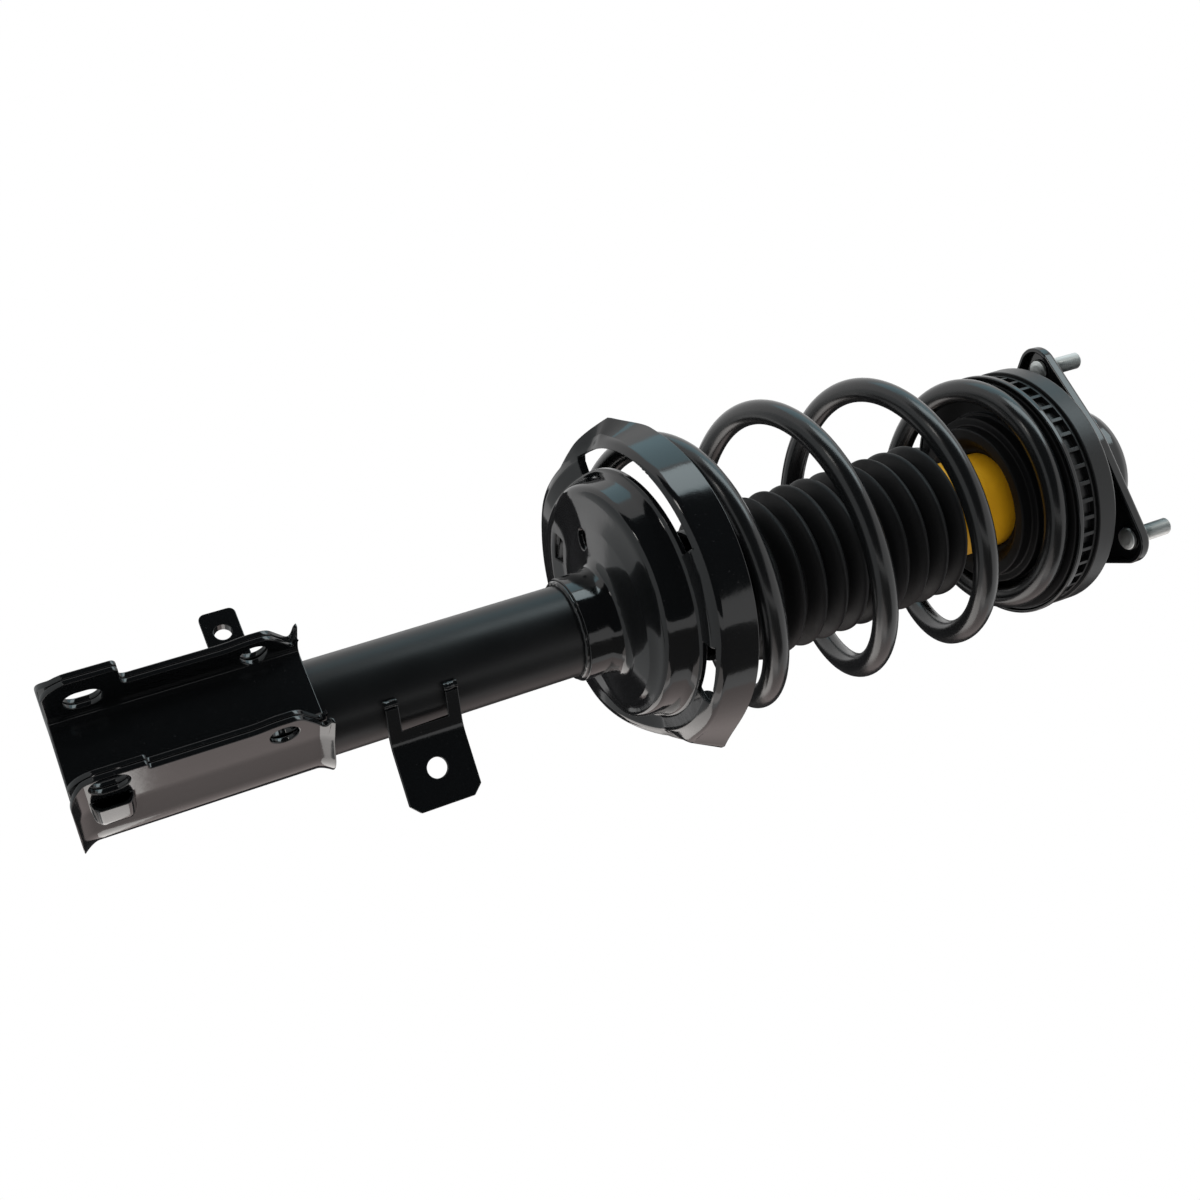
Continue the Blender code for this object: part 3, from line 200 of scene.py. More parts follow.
floor_mesh = bpy.data.meshes.new("floor")
floor_mesh.from_pydata([(*polar(FLOOR_RADIUS, TURN * k / FLOOR_SIDES), FLOOR_HEIGHT)
                        for k in range(FLOOR_SIDES)], [], [tuple(range(FLOOR_SIDES))])
floor_paint = bpy.data.materials.new("floor_paper")
floor_paint.use_nodes = True
floor_inputs = floor_paint.node_tree.nodes["Principled BSDF"].inputs
floor_inputs["Base Color"].default_value = (0.86, 0.86, 0.86, 1)
floor_inputs["Roughness"].default_value = 0.9
floor_mesh.materials.append(floor_paint)
placed("floor", floor_mesh)

# The strut tube is drawn steel, cut to length and, once everything is welded to it, dipped in black
# paint with the rest. The paint has a little orange peel and dust in it, and dries duller on the tube.
MM = 0.001
GAP = 0.3 * MM


class Finish:
    """A material with its slot's name, its shader's inputs and the wire that its patterns start from."""

    def __init__(self, name, slot, base, roughness, metallic=0.0, shine=0.5):
        self.material = bpy.data.materials.new(name)
        self.slot = slot
        self.material.use_nodes = True
        tree = self.material.node_tree
        self.inputs = tree.nodes["Principled BSDF"].inputs
        self.inputs["Base Color"].default_value = (*base, 1)
        self.inputs["Roughness"].default_value = roughness
        self.inputs["Metallic"].default_value = metallic
        self.inputs["Specular IOR Level"].default_value = shine
        self.place = Wire(tree, None).node("ShaderNodeTexCoord", out="Object")

    def noise(self, scale, detail=3.0):
        return self.place.node("ShaderNodeTexNoise", None, {
            "Vector": self.place, "Scale": scale, "Detail": detail})

    def feed(self, key, wire):
        wire.tree.links.new(wire.socket, self.inputs[key])

    def between(self, factor, first, second):
        """Let the colour run from one to another."""
        self.feed("Base Color", self.place.node("ShaderNodeMix", {"data_type": "RGBA"}, {
            "Factor": factor, "A": (*first, 1), "B": (*second, 1)}, out=2))

    def dulled(self, scale, detail, swing, least):
        """Let the roughness waver above its least value."""
        self.feed("Roughness", self.noise(scale, detail) * swing + least)

    def relief(self, height, strength, distance):
        self.feed("Normal", height.node("ShaderNodeBump", None, {
            "Height": height, "Strength": strength, "Distance": distance}))

    def peel(self, fine, strength, distance):
        """Orange peel: broad ripples with a share of finer ones."""
        self.relief(self.noise(260.0) * fine + self.noise(34.0), strength, distance)


PAINT_DARK = (0.0045, 0.005, 0.0055)
PAINT_DUST = (0.03, 0.03, 0.032)
black_paint = Finish("gloss_black_paint", "black_paint", PAINT_DARK, 0.1)
specks = black_paint.place.node("ShaderNodeValToRGB", {"stops": ((0.70, 0.0), (0.78, 1.0))},
                                {"Fac": black_paint.noise(900.0, 1.0)})
black_paint.between(specks * 0.4, PAINT_DARK, PAINT_DUST)
black_paint.feed("Roughness", black_paint.noise(26.0, 4.0) * 0.12 + specks * 0.1 + 0.04)
black_paint.peel(0.25, 0.14, 0.0006)
satin_paint = Finish("satin_black_paint", "black_paint", PAINT_DARK, 0.3, shine=0.3)
satin_paint.dulled(30.0, 4.0, 0.16, 0.26)
satin_paint.peel(0.4, 0.1, 0.0005)


def mesh_of(shape):
    """Turn a bmesh into a mesh with outward faces."""
    bmesh.ops.remove_doubles(shape, verts=shape.verts, dist=1e-7)
    bmesh.ops.recalc_face_normals(shape, faces=shape.faces)
    mesh = bpy.data.meshes.new("piece")
    shape.to_mesh(mesh)
    shape.free()
    return mesh


def skin(rings, closed_path):
    """Join equal rings of points; the skin closes on itself or gets two flat ends."""
    shape = bmesh.new()
    loops = [[shape.verts.new(point) for point in ring] for ring in rings]
    count = len(loops[0])
    pairs = list(zip(loops, loops[1:]))
    if closed_path:
        pairs.append((loops[-1], loops[0]))
    for lower, upper in pairs:
        for k in range(count):
            n = (k + 1) % count
            shape.faces.new((lower[k], lower[n], upper[n], upper[k]))
    if not closed_path:
        shape.faces.new(list(reversed(loops[0])))
        shape.faces.new(loops[-1])
    return mesh_of(shape)


def rounded(points, radius, steps=5, closed=False):
    """Round the corners of a path, with a held point on both sides of each round."""
    path = [] if closed else [Vector(points[0])]
    count = len(points)
    for k in range(count) if closed else range(1, count - 1):
        corner = Vector(points[k])
        back = Vector(points[(k - 1) % count]) - corner
        ahead = Vector(points[(k + 1) % count]) - corner
        reach = min(radius, back.length * 0.4, ahead.length * 0.4)
        start = corner + back.normalized() * reach
        end = corner + ahead.normalized() * reach
        path.append(start + back.normalized() * reach * 0.2)
        for s in range(steps + 1):
            t = s / steps
            path.append(start * (1 - t) ** 2 + corner * 2 * t * (1 - t) + end * t ** 2)
        path.append(end + ahead.normalized() * reach * 0.2)
    if not closed:
        path.append(Vector(points[-1]))
    return path


def turned(outline, radius=0.5 * MM, steps=180):
    """Revolve a closed outline of (radius, height) pairs, its corners rounded, about the strut axis."""
    points = rounded(outline, radius, 3, closed=True)
    return skin([[(*polar(p.x, TURN * k / steps), p.y) for p in points] for k in range(steps)], True)


def evaluated(thing):
    """The mesh that an object's modifiers make of it."""
    bpy.context.view_layer.update()
    return bpy.data.meshes.new_from_object(thing.evaluated_get(bpy.context.evaluated_depsgraph_get()))


def fitted(name, mesh, paint, body, *stands_for, sharp=40, weigh=True):
    """Shade a finished mesh, hang it on its body and let it stand for its solids."""
    mesh.shade_smooth()
    mesh.set_sharp_from_angle(angle=radians(sharp))
    mesh.materials.clear()
    mesh.materials.append(paint.material)
    made = placed(name, mesh)
    if weigh:
        made.modifiers.new("weigh", "WEIGHTED_NORMAL").keep_sharp = True
        made.data = evaluated(made)
        made.modifiers.clear()
        bpy.data.meshes.remove(mesh)
    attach(made, body)
    if stands_for:
        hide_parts(*stands_for)
    return made


TUBE_RADIUS = 25.4 * MM
TUBE_BORE = 23.6 * MM
TUBE_TOP = -205 * MM
TUBE_LOW = -598 * MM
fitted("drawn_tube", turned([
    (TUBE_RADIUS, TUBE_TOP), (TUBE_RADIUS, TUBE_LOW), (TUBE_BORE, TUBE_LOW), (TUBE_BORE, TUBE_TOP)]),
       satin_paint, "damper_body", "strut_tube")

# The tube's foot is closed by a dished steel cap. It is pressed into the bore and welded from below,
# so only its rim and its hollow show.


def lathe(outline, radius=0.3 * MM, steps=96):
    """Revolve an open outline of (radius, height) pairs, given top to bottom, into a full round."""
    return skin([[(*polar(p.x, TURN * k / steps), p.y) for k in range(steps)]
                 for p in rounded(outline, radius, 3)], False)


CAP_DEPTH = 9 * MM
CAP_SHEET = 3 * MM
CAP_HOLLOW = 0.8 * MM
cap_low = TUBE_LOW + 1 * MM
cap_edge = TUBE_BORE - GAP
fitted("dished_cap", lathe([
    (cap_edge * 0.45, cap_low + CAP_SHEET), (cap_edge * 0.8, cap_low + CAP_SHEET),
    (cap_edge - CAP_SHEET, cap_low + CAP_DEPTH), (cap_edge, cap_low + CAP_DEPTH), (cap_edge, cap_low),
    (cap_edge * 0.5, cap_low), (cap_edge * 0.45, cap_low + CAP_HOLLOW), (2 * MM, cap_low + CAP_HOLLOW)]),
       black_paint, "damper_body", "tube_end_cap")

# Inside, bright turned steel parts and rubber seals work round the chromed rod. The rod's upper end
# has a rolled thread for the mount's nut.
steel = Finish("machined_steel", "plain_steel", (0.42, 0.42, 0.43), 0.35, metallic=1.0)
steel.dulled(400.0, 3.0, 0.2, 0.25)
chrome = Finish("hard_chrome", "chrome", (0.72, 0.73, 0.75), 0.1, metallic=1.0)
chrome.dulled(500.0, 3.0, 0.08, 0.06)
rubber = Finish("black_rubber", "rubber", (0.006, 0.006, 0.0065), 0.6, shine=0.16)
rubber.dulled(60.0, 5.0, 0.3, 0.36)
rubber.relief(rubber.noise(900.0, 2.0), 0.12, 0.0003)


class Plan:
    """A Geometry Nodes tree with named sizes, and the plain mesh that it grows."""

    def __init__(self, name, **sizes):
        self.tree = bpy.data.node_groups.new(name, "GeometryNodeTree")
        self.sizes = sizes
        face = self.tree.interface
        face.new_socket("Geometry", in_out="INPUT", socket_type="NodeSocketGeometry")
        for key, value in sizes.items():
            kind = "NodeSocketInt" if isinstance(value, int) else "NodeSocketFloat"
            face.new_socket(key, in_out="INPUT", socket_type=kind)
        face.new_socket("Geometry", in_out="OUTPUT", socket_type="NodeSocketGeometry")
        entry = self.tree.nodes.new("NodeGroupInput")
        self.given = {socket.name: Wire(self.tree, socket) for socket in entry.outputs if socket.name}
        self.base = self.given["Geometry"]

    def grow(self, result, paint, base=None):
        """End the tree, run it on a base mesh and return what it makes."""
        solid = result.node("GeometryNodeRealizeInstances", None, {0: result})
        dressed = solid.node("GeometryNodeSetMaterial", None, {"Geometry": solid, "Material": paint.material})
        end = self.tree.nodes.new("NodeGroupOutput")
        self.tree.links.new(dressed.socket, end.inputs[0])
        body = placed("grown", base or bpy.data.meshes.new("seed"))
        step = body.modifiers.new("plan", "NODES")
        step.node_group = self.tree
        for socket in self.tree.interface.items_tree:
            if socket.in_out == "INPUT" and socket.name in self.sizes:
                step[socket.identifier] = self.sizes[socket.name]
        grown = evaluated(body)
        bpy.data.objects.remove(body)
        shape = bmesh.new()
        shape.from_mesh(grown)
        bmesh.ops.recalc_face_normals(shape, faces=shape.faces)
        shape.to_mesh(grown)
        shape.free()
        return grown


def swept(curve, sides, radius):
    """A bar along a curve, capped at both ends, its section held upright."""
    upright = curve.node("GeometryNodeSetCurveNormal", {"mode": "Z_UP"}, {"Curve": curve})
    section = curve.node("GeometryNodeCurvePrimitiveCircle", None, {"Resolution": sides, "Radius": radius})
    return curve.node("GeometryNodeCurveToMesh", None, {
        "Curve": upright, "Profile Curve": section, "Fill Caps": True})


def lifted(geometry, height):
    """The same geometry, moved up the strut axis."""
    shift = geometry.node("ShaderNodeCombineXYZ", None, {"Z": height})
    return geometry.node("GeometryNodeTransform", None, {"Geometry": geometry, "Translation": shift})


def thread(radius, pitch, low, high, paint):
    """A helix of diamond section, half sunk in a shaft, whose crest has the given radius."""
    plan = Plan("thread", Radius=radius - pitch / 2, Height=high - low, Turns=(high - low) / pitch,
                Depth=pitch / 2, Low=low)
    given = plan.given
    helix = plan.base.node("GeometryNodeCurveSpiral", None, {
        "Resolution": 48, "Rotations": given["Turns"], "Start Radius": given["Radius"],
        "End Radius": given["Radius"], "Height": given["Height"]})
    return plan.grow(lifted(swept(helix, 4, given["Depth"]), given["Low"]), paint)


def merged(meshes):
    """Put several meshes into one."""
    total = bmesh.new()
    for mesh in meshes:
        total.from_mesh(mesh)
        bpy.data.meshes.remove(mesh)
    whole = bpy.data.meshes.new("whole")
    total.to_mesh(whole)
    total.free()
    return whole


def dress(nodes, paint):
    """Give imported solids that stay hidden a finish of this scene."""
    for node in nodes:
        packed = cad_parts[node]
        packed.data.materials.clear()
        packed.data.materials.append(paint.material)


dress(["piston", "piston_nut", "inner_cylinder", "base_valve", "rod_guide"], steel)
ROD_RADIUS = 11 * MM
ROD_THREAD = 7 * MM
ROD_TOP = 27 * MM
ROD_LENGTH = 338 * MM
PITCH = 1.5 * MM
TIP = 1.2 * MM
shoulder = -19.8 * MM
rod_low = shoulder - ROD_LENGTH
core = ROD_THREAD - PITCH / 2
rod = lathe([(core - TIP, ROD_TOP), (core, ROD_TOP - TIP), (core, 9.6 * MM), (ROD_THREAD, 8.8 * MM),
             (ROD_THREAD, shoulder), (ROD_RADIUS - 1 * MM, shoulder), (ROD_RADIUS, shoulder - 1 * MM),
             (ROD_RADIUS, rod_low), (4.5 * MM, rod_low), (4.5 * MM, rod_low - 25 * MM)])
fitted("chromed_rod", merged([rod, thread(ROD_THREAD, PITCH, 10 * MM, ROD_TOP - 1.5 * MM, chrome)]), chrome,
       "mount", "piston_rod")
SEAL_DEPTH = 5 * MM
GUIDE_DEPTH = 12 * MM
STOP_RADIUS = 15 * MM
STOP_DEPTH = 14 * MM
rod_clear = ROD_RADIUS + GAP
seal_edge = TUBE_BORE - GAP
seal_high = TUBE_TOP - GAP
fitted("lipped_seal", turned([
    (seal_edge, seal_high), (seal_edge, seal_high - SEAL_DEPTH), (rod_clear, seal_high - SEAL_DEPTH),
    (rod_clear, seal_high - 1 * MM), (ROD_RADIUS + 1.8 * MM, seal_high)]), rubber, "damper_body", "oil_seal")
stop_high = TUBE_TOP - SEAL_DEPTH - GUIDE_DEPTH - 3 * GAP
fitted("rebound_ring", turned([
    (STOP_RADIUS, stop_high), (STOP_RADIUS, stop_high - STOP_DEPTH), (rod_clear, stop_high - STOP_DEPTH),
    (rod_clear, stop_high)], 1 * MM), rubber, "mount", "rebound_stop")

# The gland cap is a thin steel pressing, crimped over the tube's top end and painted with it. The
# bump stop lands on it.
GLAND_WALL = 1.6 * MM
GLAND_SKIRT = 9 * MM
GLAND_BORE = 13 * MM
skirt = TUBE_RADIUS + GAP
gland_top = TUBE_TOP + GAP + 3 * MM
fitted("crimped_gland", turned([
    (skirt + 0.6 * MM, gland_top), (skirt + GLAND_WALL, gland_top - 1 * MM),
    (skirt + GLAND_WALL, TUBE_TOP - GLAND_SKIRT), (skirt, TUBE_TOP - GLAND_SKIRT), (skirt, TUBE_TOP + GAP),
    (GLAND_BORE, TUBE_TOP + GAP), (GLAND_BORE, gland_top)]), black_paint, "damper_body", "gland_cap")

# The knuckle clevis's outer channel is heavy sheet, wrapped round the tube's foot and belled out at
# both ends. A louvre is pressed out of its near ear, and the far ear is taller at its foot.


def arc(centre, radius, start, end, steps):
    """Points on an arc in a plane, both ends included."""
    points = [polar(radius, start + (end - start) * k / steps) for k in range(steps + 1)]
    return [(centre[0] + x, centre[1] + y) for x, y in points]


def pillar(outline, low, high, turn=None):
    """Prism over an XY outline, from one height to the other."""
    rings = [[Vector((x, y, z)) for x, y in outline] for z in (low, high)]
    if turn:
        rings = [[turn @ point for point in ring] for ring in rings]
    return skin(rings, False)


def drill(centre, axis, radius, length, steps=64):
    """Round bar along an axis, centred on a point: the shape of a drilled hole."""
    turn = Vector((0, 0, 1)).rotation_difference(Vector(axis)).to_matrix().to_4x4()
    return pillar(arc((0, 0), radius, 0, TURN * (steps - 1) / steps, steps - 1), -length / 2, length / 2,
                  Matrix.Translation(Vector(centre)) @ turn)


def carved(mesh, cuts, edge=0.4 * MM, angle=35, first=()):
    """Work a mesh with its first tools, cut the others out of it in turn, then break the sharp edges."""
    body = placed("carved", mesh)
    helpers = []
    for operation, tool in [*first, *(("DIFFERENCE", cut) for cut in cuts)]:
        helper = placed("tool", tool)
        helpers.append(helper)
        step = body.modifiers.new("cut", "BOOLEAN")
        step.operation = operation
        step.solver = "EXACT"
        step.object = helper
    bevel = body.modifiers.new("edges", "BEVEL")
    bevel.width = edge
    bevel.segments = 3
    bevel.limit_method = "ANGLE"
    bevel.angle_limit = radians(angle)
    bevel.use_clamp_overlap = False
    done = evaluated(body)
    for thing in [body] + helpers:
        old = thing.data
        bpy.data.objects.remove(thing)
        bpy.data.meshes.remove(old)
    return done


MITRE_LIMIT = 0.3


def ribbon(path, thickness, flare=0.0):
    """Outline of a bent sheet whose middle follows an open path; flare moves it to its left."""
    path = [Vector(point) for point in path]
    left = []
    right = []
    for k, point in enumerate(path):
        before = path[max(k - 1, 0)]
        after = path[min(k + 1, len(path) - 1)]
        first = (point - before).normalized() if k else (after - point).normalized()
        second = (after - point).normalized() if k < len(path) - 1 else first
        along = (first + second).normalized()
        across = Vector((-along.y, along.x)) / max(along.dot(first), MITRE_LIMIT)
        left.append(point + across * (thickness / 2 + flare))
        right.append(point + across * (flare - thickness / 2))
    return left + right[::-1]


CLEVIS_LOW = -606 * MM
CLEVIS_HIGH = -482 * MM
OUTER_SHEET = 3 * MM
INNER_SHEET = 2.7 * MM
CLEVIS_GAP = 40 * MM
CLEVIS_TURN = radians(9)
EAR_OUTER = CLEVIS_GAP / 2 + INNER_SHEET + GAP + OUTER_SHEET
WRAP_RADIUS = TUBE_RADIUS + GAP + OUTER_SHEET
PINCH = (WRAP_RADIUS - EAR_OUTER * cos(CLEVIS_TURN)) / sin(CLEVIS_TURN)
EAR_EDGE = 46 * MM
LOBE_EDGE = 60.5 * MM
LOBE_EDGE_NEAR = 50.5 * MM
LOBE_TOP = -569 * MM
LOBE_CORNER = 15 * MM
UPPER_LOBE = 47.8 * MM
EAR_NOTCH = 33 * MM
HORN_EDGE = 39.5 * MM
HORN_ROUND = 8 * MM
FLARE_REACH = 8 * MM
FLARE_LOW = 4.5 * MM
FLARE_HIGH = 3.6 * MM
FLARE_CURVE = 1.6
LOWER_BOLT = (42.5 * MM, -587 * MM)
UPPER_BOLT = (36.5 * MM, -506 * MM)
BOLT_HOLE = 7.1 * MM
BOLT_PLAY = 2 * MM
ALONG_X = Matrix(((0, 0, 1, 0), (1, 0, 0, 0), (0, 1, 0, 0), (0, 0, 0, 1)))


def flare_at(height):
    """How far the channel bells out at a height, as a round at both ends."""
    low = max(1 - (height - CLEVIS_LOW) / FLARE_REACH, 0.0)
    high = max(1 - (CLEVIS_HIGH - height) / FLARE_REACH, 0.0)
    return FLARE_LOW * low ** FLARE_CURVE + FLARE_HIGH * high ** FLARE_CURVE


def ear_trim(lobe, start, end):
    """What is cut away beyond one ear's free edge, as a prism along X from start to end."""
    far = LOBE_EDGE + 30 * MM
    above = CLEVIS_HIGH + 10 * MM
    foot = CLEVIS_HIGH - 3.5 * MM
    bolt = UPPER_BOLT[1]
    edge = [(far, CLEVIS_LOW - LOBE_CORNER), (30 * MM, CLEVIS_LOW - LOBE_CORNER), (30 * MM, CLEVIS_LOW)]
    edge += arc((lobe - LOBE_CORNER, CLEVIS_LOW + LOBE_CORNER), LOBE_CORNER, -pi / 2, 0, 24)
    edge += [tuple(p) for p in rounded([
        (lobe, LOBE_TOP - 8 * MM), (lobe, LOBE_TOP), (EAR_EDGE, LOBE_TOP), (EAR_EDGE, bolt - 13 * MM),
        (UPPER_LOBE, bolt - 3 * MM), (UPPER_LOBE, bolt + 8 * MM), (EAR_NOTCH, foot - 1 * MM),
        (HORN_EDGE, foot + 1.5 * MM), (HORN_EDGE, CLEVIS_HIGH),
        (HORN_EDGE - HORN_ROUND, CLEVIS_HIGH + 0.6 * MM), (HORN_EDGE - HORN_ROUND, above)], 4 * MM, 8)]
    return pillar(edge + [(far, above)], start, end, ALONG_X)


def ear_cuts():
    """The cuts both channels share: each ear's free edge and the bolt holes, the lower one a slot."""
    across, height = LOWER_BOLT
    slot = arc((across, height + BOLT_PLAY), BOLT_HOLE, 0, pi, 32)
    slot += arc((across, height - BOLT_PLAY), BOLT_HOLE, pi, TURN, 32)
    return [ear_trim(LOBE_EDGE_NEAR, -80 * MM, -1 * MM), ear_trim(LOBE_EDGE, 1 * MM, 80 * MM),
            pillar(slot, -45 * MM, 45 * MM, ALONG_X), drill((0, *UPPER_BOLT), (1, 0, 0), BOLT_HOLE, 90 * MM)]


ear = EAR_OUTER - OUTER_SHEET / 2
right_side = [(ear, LOBE_EDGE + 2 * MM), (ear, PINCH + 6 * MM), (ear, PINCH)]
outer_path = right_side + arc((0, 0), WRAP_RADIUS - OUTER_SHEET / 2, CLEVIS_TURN, -pi - CLEVIS_TURN, 96)
outer_path += [(-x, y) for x, y in reversed(right_side)]
ends = range(9)
heights = [CLEVIS_LOW + z * MM for z in ends]
heights += [CLEVIS_LOW + (CLEVIS_HIGH - CLEVIS_LOW) * k / 12 for k in range(1, 12)]
heights += [CLEVIS_HIGH - z * MM for z in reversed(ends)]
outer_rings = [[(p.x, p.y, z) for p in ribbon(outer_path, OUTER_SHEET, flare_at(z))] for z in heights]

# The louvre is given in millimetres: its strap's round flank as (share of the rise, widening) pairs,
# and how deep the strap and the hollow under it start, from the tube's axis.
LOUVRE_HEIGHT = -587.5 * MM
LOUVRE_SINK = 0.8
LOUVRE_SIDE = ((0, 1.1), (0.25, 0.9), (0.6, 0.35), (0.85, -0.6), (0.97, -1.7), (1, -3))
STRAP_ROOT = -25
HOLLOW_ROOT = -22.6


def louvre_loft(stations, root):
    """A strap that bulges from the near ear: (distance from the web, rise, half width) at each station."""
    face = LOUVRE_SINK - EAR_OUTER / MM
    rings = []
    for reach, rise, half in stations:
        side = [(root, half + LOUVRE_SIDE[0][1])]
        side += [(face - (rise + LOUVRE_SINK) * share, half + out) for share, out in LOUVRE_SIDE]
        rings.append([(x * MM, reach * MM, LOUVRE_HEIGHT - z * MM) for x, z in side]
                     + [(x * MM, reach * MM, LOUVRE_HEIGHT + z * MM) for x, z in reversed(side)])
    return skin(rings, False)


louvre = louvre_loft([(3, 0.1, 6), (5.5, 0.6, 6.8), (8.5, 2, 7.5), (11, 4, 8), (13.5, 5.2, 8.3),
                      (16.5, 5.5, 8.5), (22, 5.5, 8.7), (29.5, 5.5, 8.8)], STRAP_ROOT)
hollow = louvre_loft([(14, 1.2, 6), (16, 2.8, 6.4), (19, 3.5, 6.6), (24, 3.5, 6.8), (30.5, 3.5, 6.9)],
                     HOLLOW_ROOT)
fitted("wrapped_channel", carved(skin(outer_rings, False), [hollow] + ear_cuts(), 0.7 * MM, 40,
                                 [("UNION", louvre)]), black_paint, "damper_body", "clevis_outer")

# A second steel channel is nested between the outer one's ears and welded to it. Its web shows behind
# the tube's foot.
middle = CLEVIS_GAP / 2 + INNER_SHEET / 2
web = TUBE_RADIUS + GAP + INNER_SHEET / 2
beyond = LOBE_EDGE + 2 * MM
inner_path = rounded([(middle, beyond), (middle, web), (-middle, web), (-middle, beyond)], 6 * MM, 10)
inner_rings = [[(p.x, p.y, z) for p in ribbon(inner_path, INNER_SHEET)]
               for z in (CLEVIS_LOW + 1 * MM, CLEVIS_HIGH - 2 * MM)]
fitted("nested_channel", carved(skin(inner_rings, False), ear_cuts(), 0.6 * MM, 40), black_paint,
       "damper_body", "clevis_inner")

# The hose bracket is a folded plate with a hole for the brake hose. It stands on two legs that are
# welded to the tube.
HOSE_SIDE = radians(206)
HOSE_SHEET = 3 * MM
HOSE_HALF = 19.5 * MM
HOSE_HEIGHT = -434 * MM
HOSE_REACH = 66.5 * MM
HOSE_BEND = 29.5 * MM
HOSE_CORNER = 6 * MM
HOSE_SLOT = 12.5 * MM
HOSE_HOLE = 5.5 * MM
HOLE_REACH = 47 * MM
WELD_ANGLE = radians(57)
LAID = Matrix(((1, 0, 0, 0), (0, 0, 1, 0), (0, 1, 0, 0), (0, 0, 0, 1)))
ring_middle = TUBE_RADIUS + GAP + HOSE_SHEET / 2
tangent = Vector((cos(WELD_ANGLE), sin(WELD_ANGLE))) * ring_middle
slope = Vector((sin(WELD_ANGLE), -cos(WELD_ANGLE)))
leg_end = tangent - slope * 5 * MM
fold = tangent + slope * ((HOSE_BEND - tangent.x) / slope.x)
hose_path = rounded([leg_end, fold, (HOSE_REACH, fold.y)], 6 * MM, 10)
hose_outline = [(p.x, -p.y) for p in ribbon(hose_path, HOSE_SHEET)]
hose_turn = Matrix.Rotation(HOSE_SIDE, 4, "Z")
slot_start = leg_end.x - 10 * MM
slot_end = HOSE_BEND - 6 * MM
between_legs = [(slot_start, -45 * MM), (slot_end, -45 * MM), (slot_end, 0), (slot_start, 0)]
hose_cuts = [drill(hose_turn @ Vector((HOLE_REACH, -fold.y, HOSE_HEIGHT)), hose_turn @ Vector((0, 1, 0)),
                   HOSE_HOLE, 20 * MM),
             pillar(between_legs, HOSE_HEIGHT - HOSE_SLOT, HOSE_HEIGHT + HOSE_SLOT, hose_turn)]
for side in (-1, 1):
    z = HOSE_HEIGHT + side * HOSE_HALF
    chamfer = [(HOSE_REACH + 1 * MM, z - side * HOSE_CORNER), (HOSE_REACH + 1 * MM, z + side * 1 * MM),
               (HOSE_REACH - HOSE_CORNER, z + side * 1 * MM)]
    hose_cuts.append(pillar(chamfer, -fold.y - 8 * MM, -fold.y + 8 * MM, hose_turn @ LAID))
hose_plate = pillar(hose_outline, HOSE_HEIGHT - HOSE_HALF, HOSE_HEIGHT + HOSE_HALF, hose_turn)
fitted("hose_plate", carved(hose_plate, hose_cuts, 0.5 * MM), black_paint, "damper_body", "hose_bracket")

# The sensor-wire tab is a small bent steel strip, welded behind the far ear, with a collar drawn
# round its hole.
TAB_SHEET = 2 * MM
TAB_HALF = 9.5 * MM
TAB_HEIGHT = -513.5 * MM
TAB_PLANE = 16.5 * MM
TAB_REACH = 62 * MM
TAB_HOLE = 49 * MM
TAB_BORE = 4.5 * MM
TAB_COLLAR = 6.3 * MM
TAB_CORNER = 3.5 * MM
fall = (WRAP_RADIUS - EAR_OUTER) / PINCH
away = 0.5 * MM + TAB_SHEET / 2
level = TAB_PLANE - TAB_SHEET / 2
tab_path = rounded([(WRAP_RADIUS - 2 * MM * fall + away, 2 * MM),
                    (WRAP_RADIUS - (TAB_PLANE - 1 * MM) * fall + away, level), (TAB_REACH, level)], 3 * MM, 8)
collar = drill((TAB_HOLE, TAB_PLANE - TAB_SHEET - 1.5 * MM, TAB_HEIGHT), (0, 1, 0), TAB_COLLAR, 4 * MM)
tab_cuts = [drill((TAB_HOLE, TAB_PLANE - TAB_SHEET, TAB_HEIGHT), (0, 1, 0), TAB_BORE, 30 * MM)]
for side in (-1, 1):
    inner = (TAB_REACH - TAB_CORNER, TAB_HEIGHT + side * (TAB_HALF - TAB_CORNER))
    beyond = TAB_HEIGHT + side * (TAB_HALF + 1 * MM)
    tab_cuts.append(pillar(arc(inner, TAB_CORNER, 0, side * pi / 2, 10) + [
        (inner[0], beyond), (TAB_REACH + 1 * MM, beyond), (TAB_REACH + 1 * MM, inner[1])],
        level - 8 * MM, level + 8 * MM, LAID))
strip = pillar(ribbon(tab_path, TAB_SHEET), TAB_HEIGHT - TAB_HALF, TAB_HEIGHT + TAB_HALF)
fitted("sensor_wire_tab", carved(strip, tab_cuts, first=[("UNION", collar)]), black_paint, "damper_body",
       "sensor_tab")

# The lower spring seat is one drawn steel pressing, welded to the tube at its neck: a stepped pan, a
# leaning channel for the coil and a tall guard that flares at both ends. Away from the guard its
# underside is flat down to the pan.
SIDE = radians(26)
SEAT_SHEET = 3 * MM
SEAT_FLOOR = -299 * MM
SEAT_SHIFT = 8.9 * MM
SEAT_TILT = 12 * MM
HIGH_SIDE = radians(130)
NECK_LOW = -340 * MM
PAN_RADIUS = 65.5 * MM
PAN_LOW = -317 * MM
SHIFT_FROM = 40 * MM
CHANNEL_INNER = 70 * MM
CHANNEL_OUTER = 79 * MM
GUARD_RADIUS = CHANNEL_OUTER + 5 * MM
GUARD_RISE = 23 * MM
GUARD_LEAN = 2 * MM
GUARD_START = radians(35)
GUARD_END = radians(212)
START_FADE = radians(15)
END_FADE = radians(7)
LIP_RISE = 2 * MM
CUSP_LEAN = 12 * MM
CUSP_REACH = 0.2
START_CUSP_REACH = 0.45
BARE_SIDE = radians(303.5)
BARE_DROP = 11.5 * MM


def smooth_step(value, low, high):
    t = min(max((value - low) / (high - low), 0.0), 1.0)
    return t * t * (3 - 2 * t)


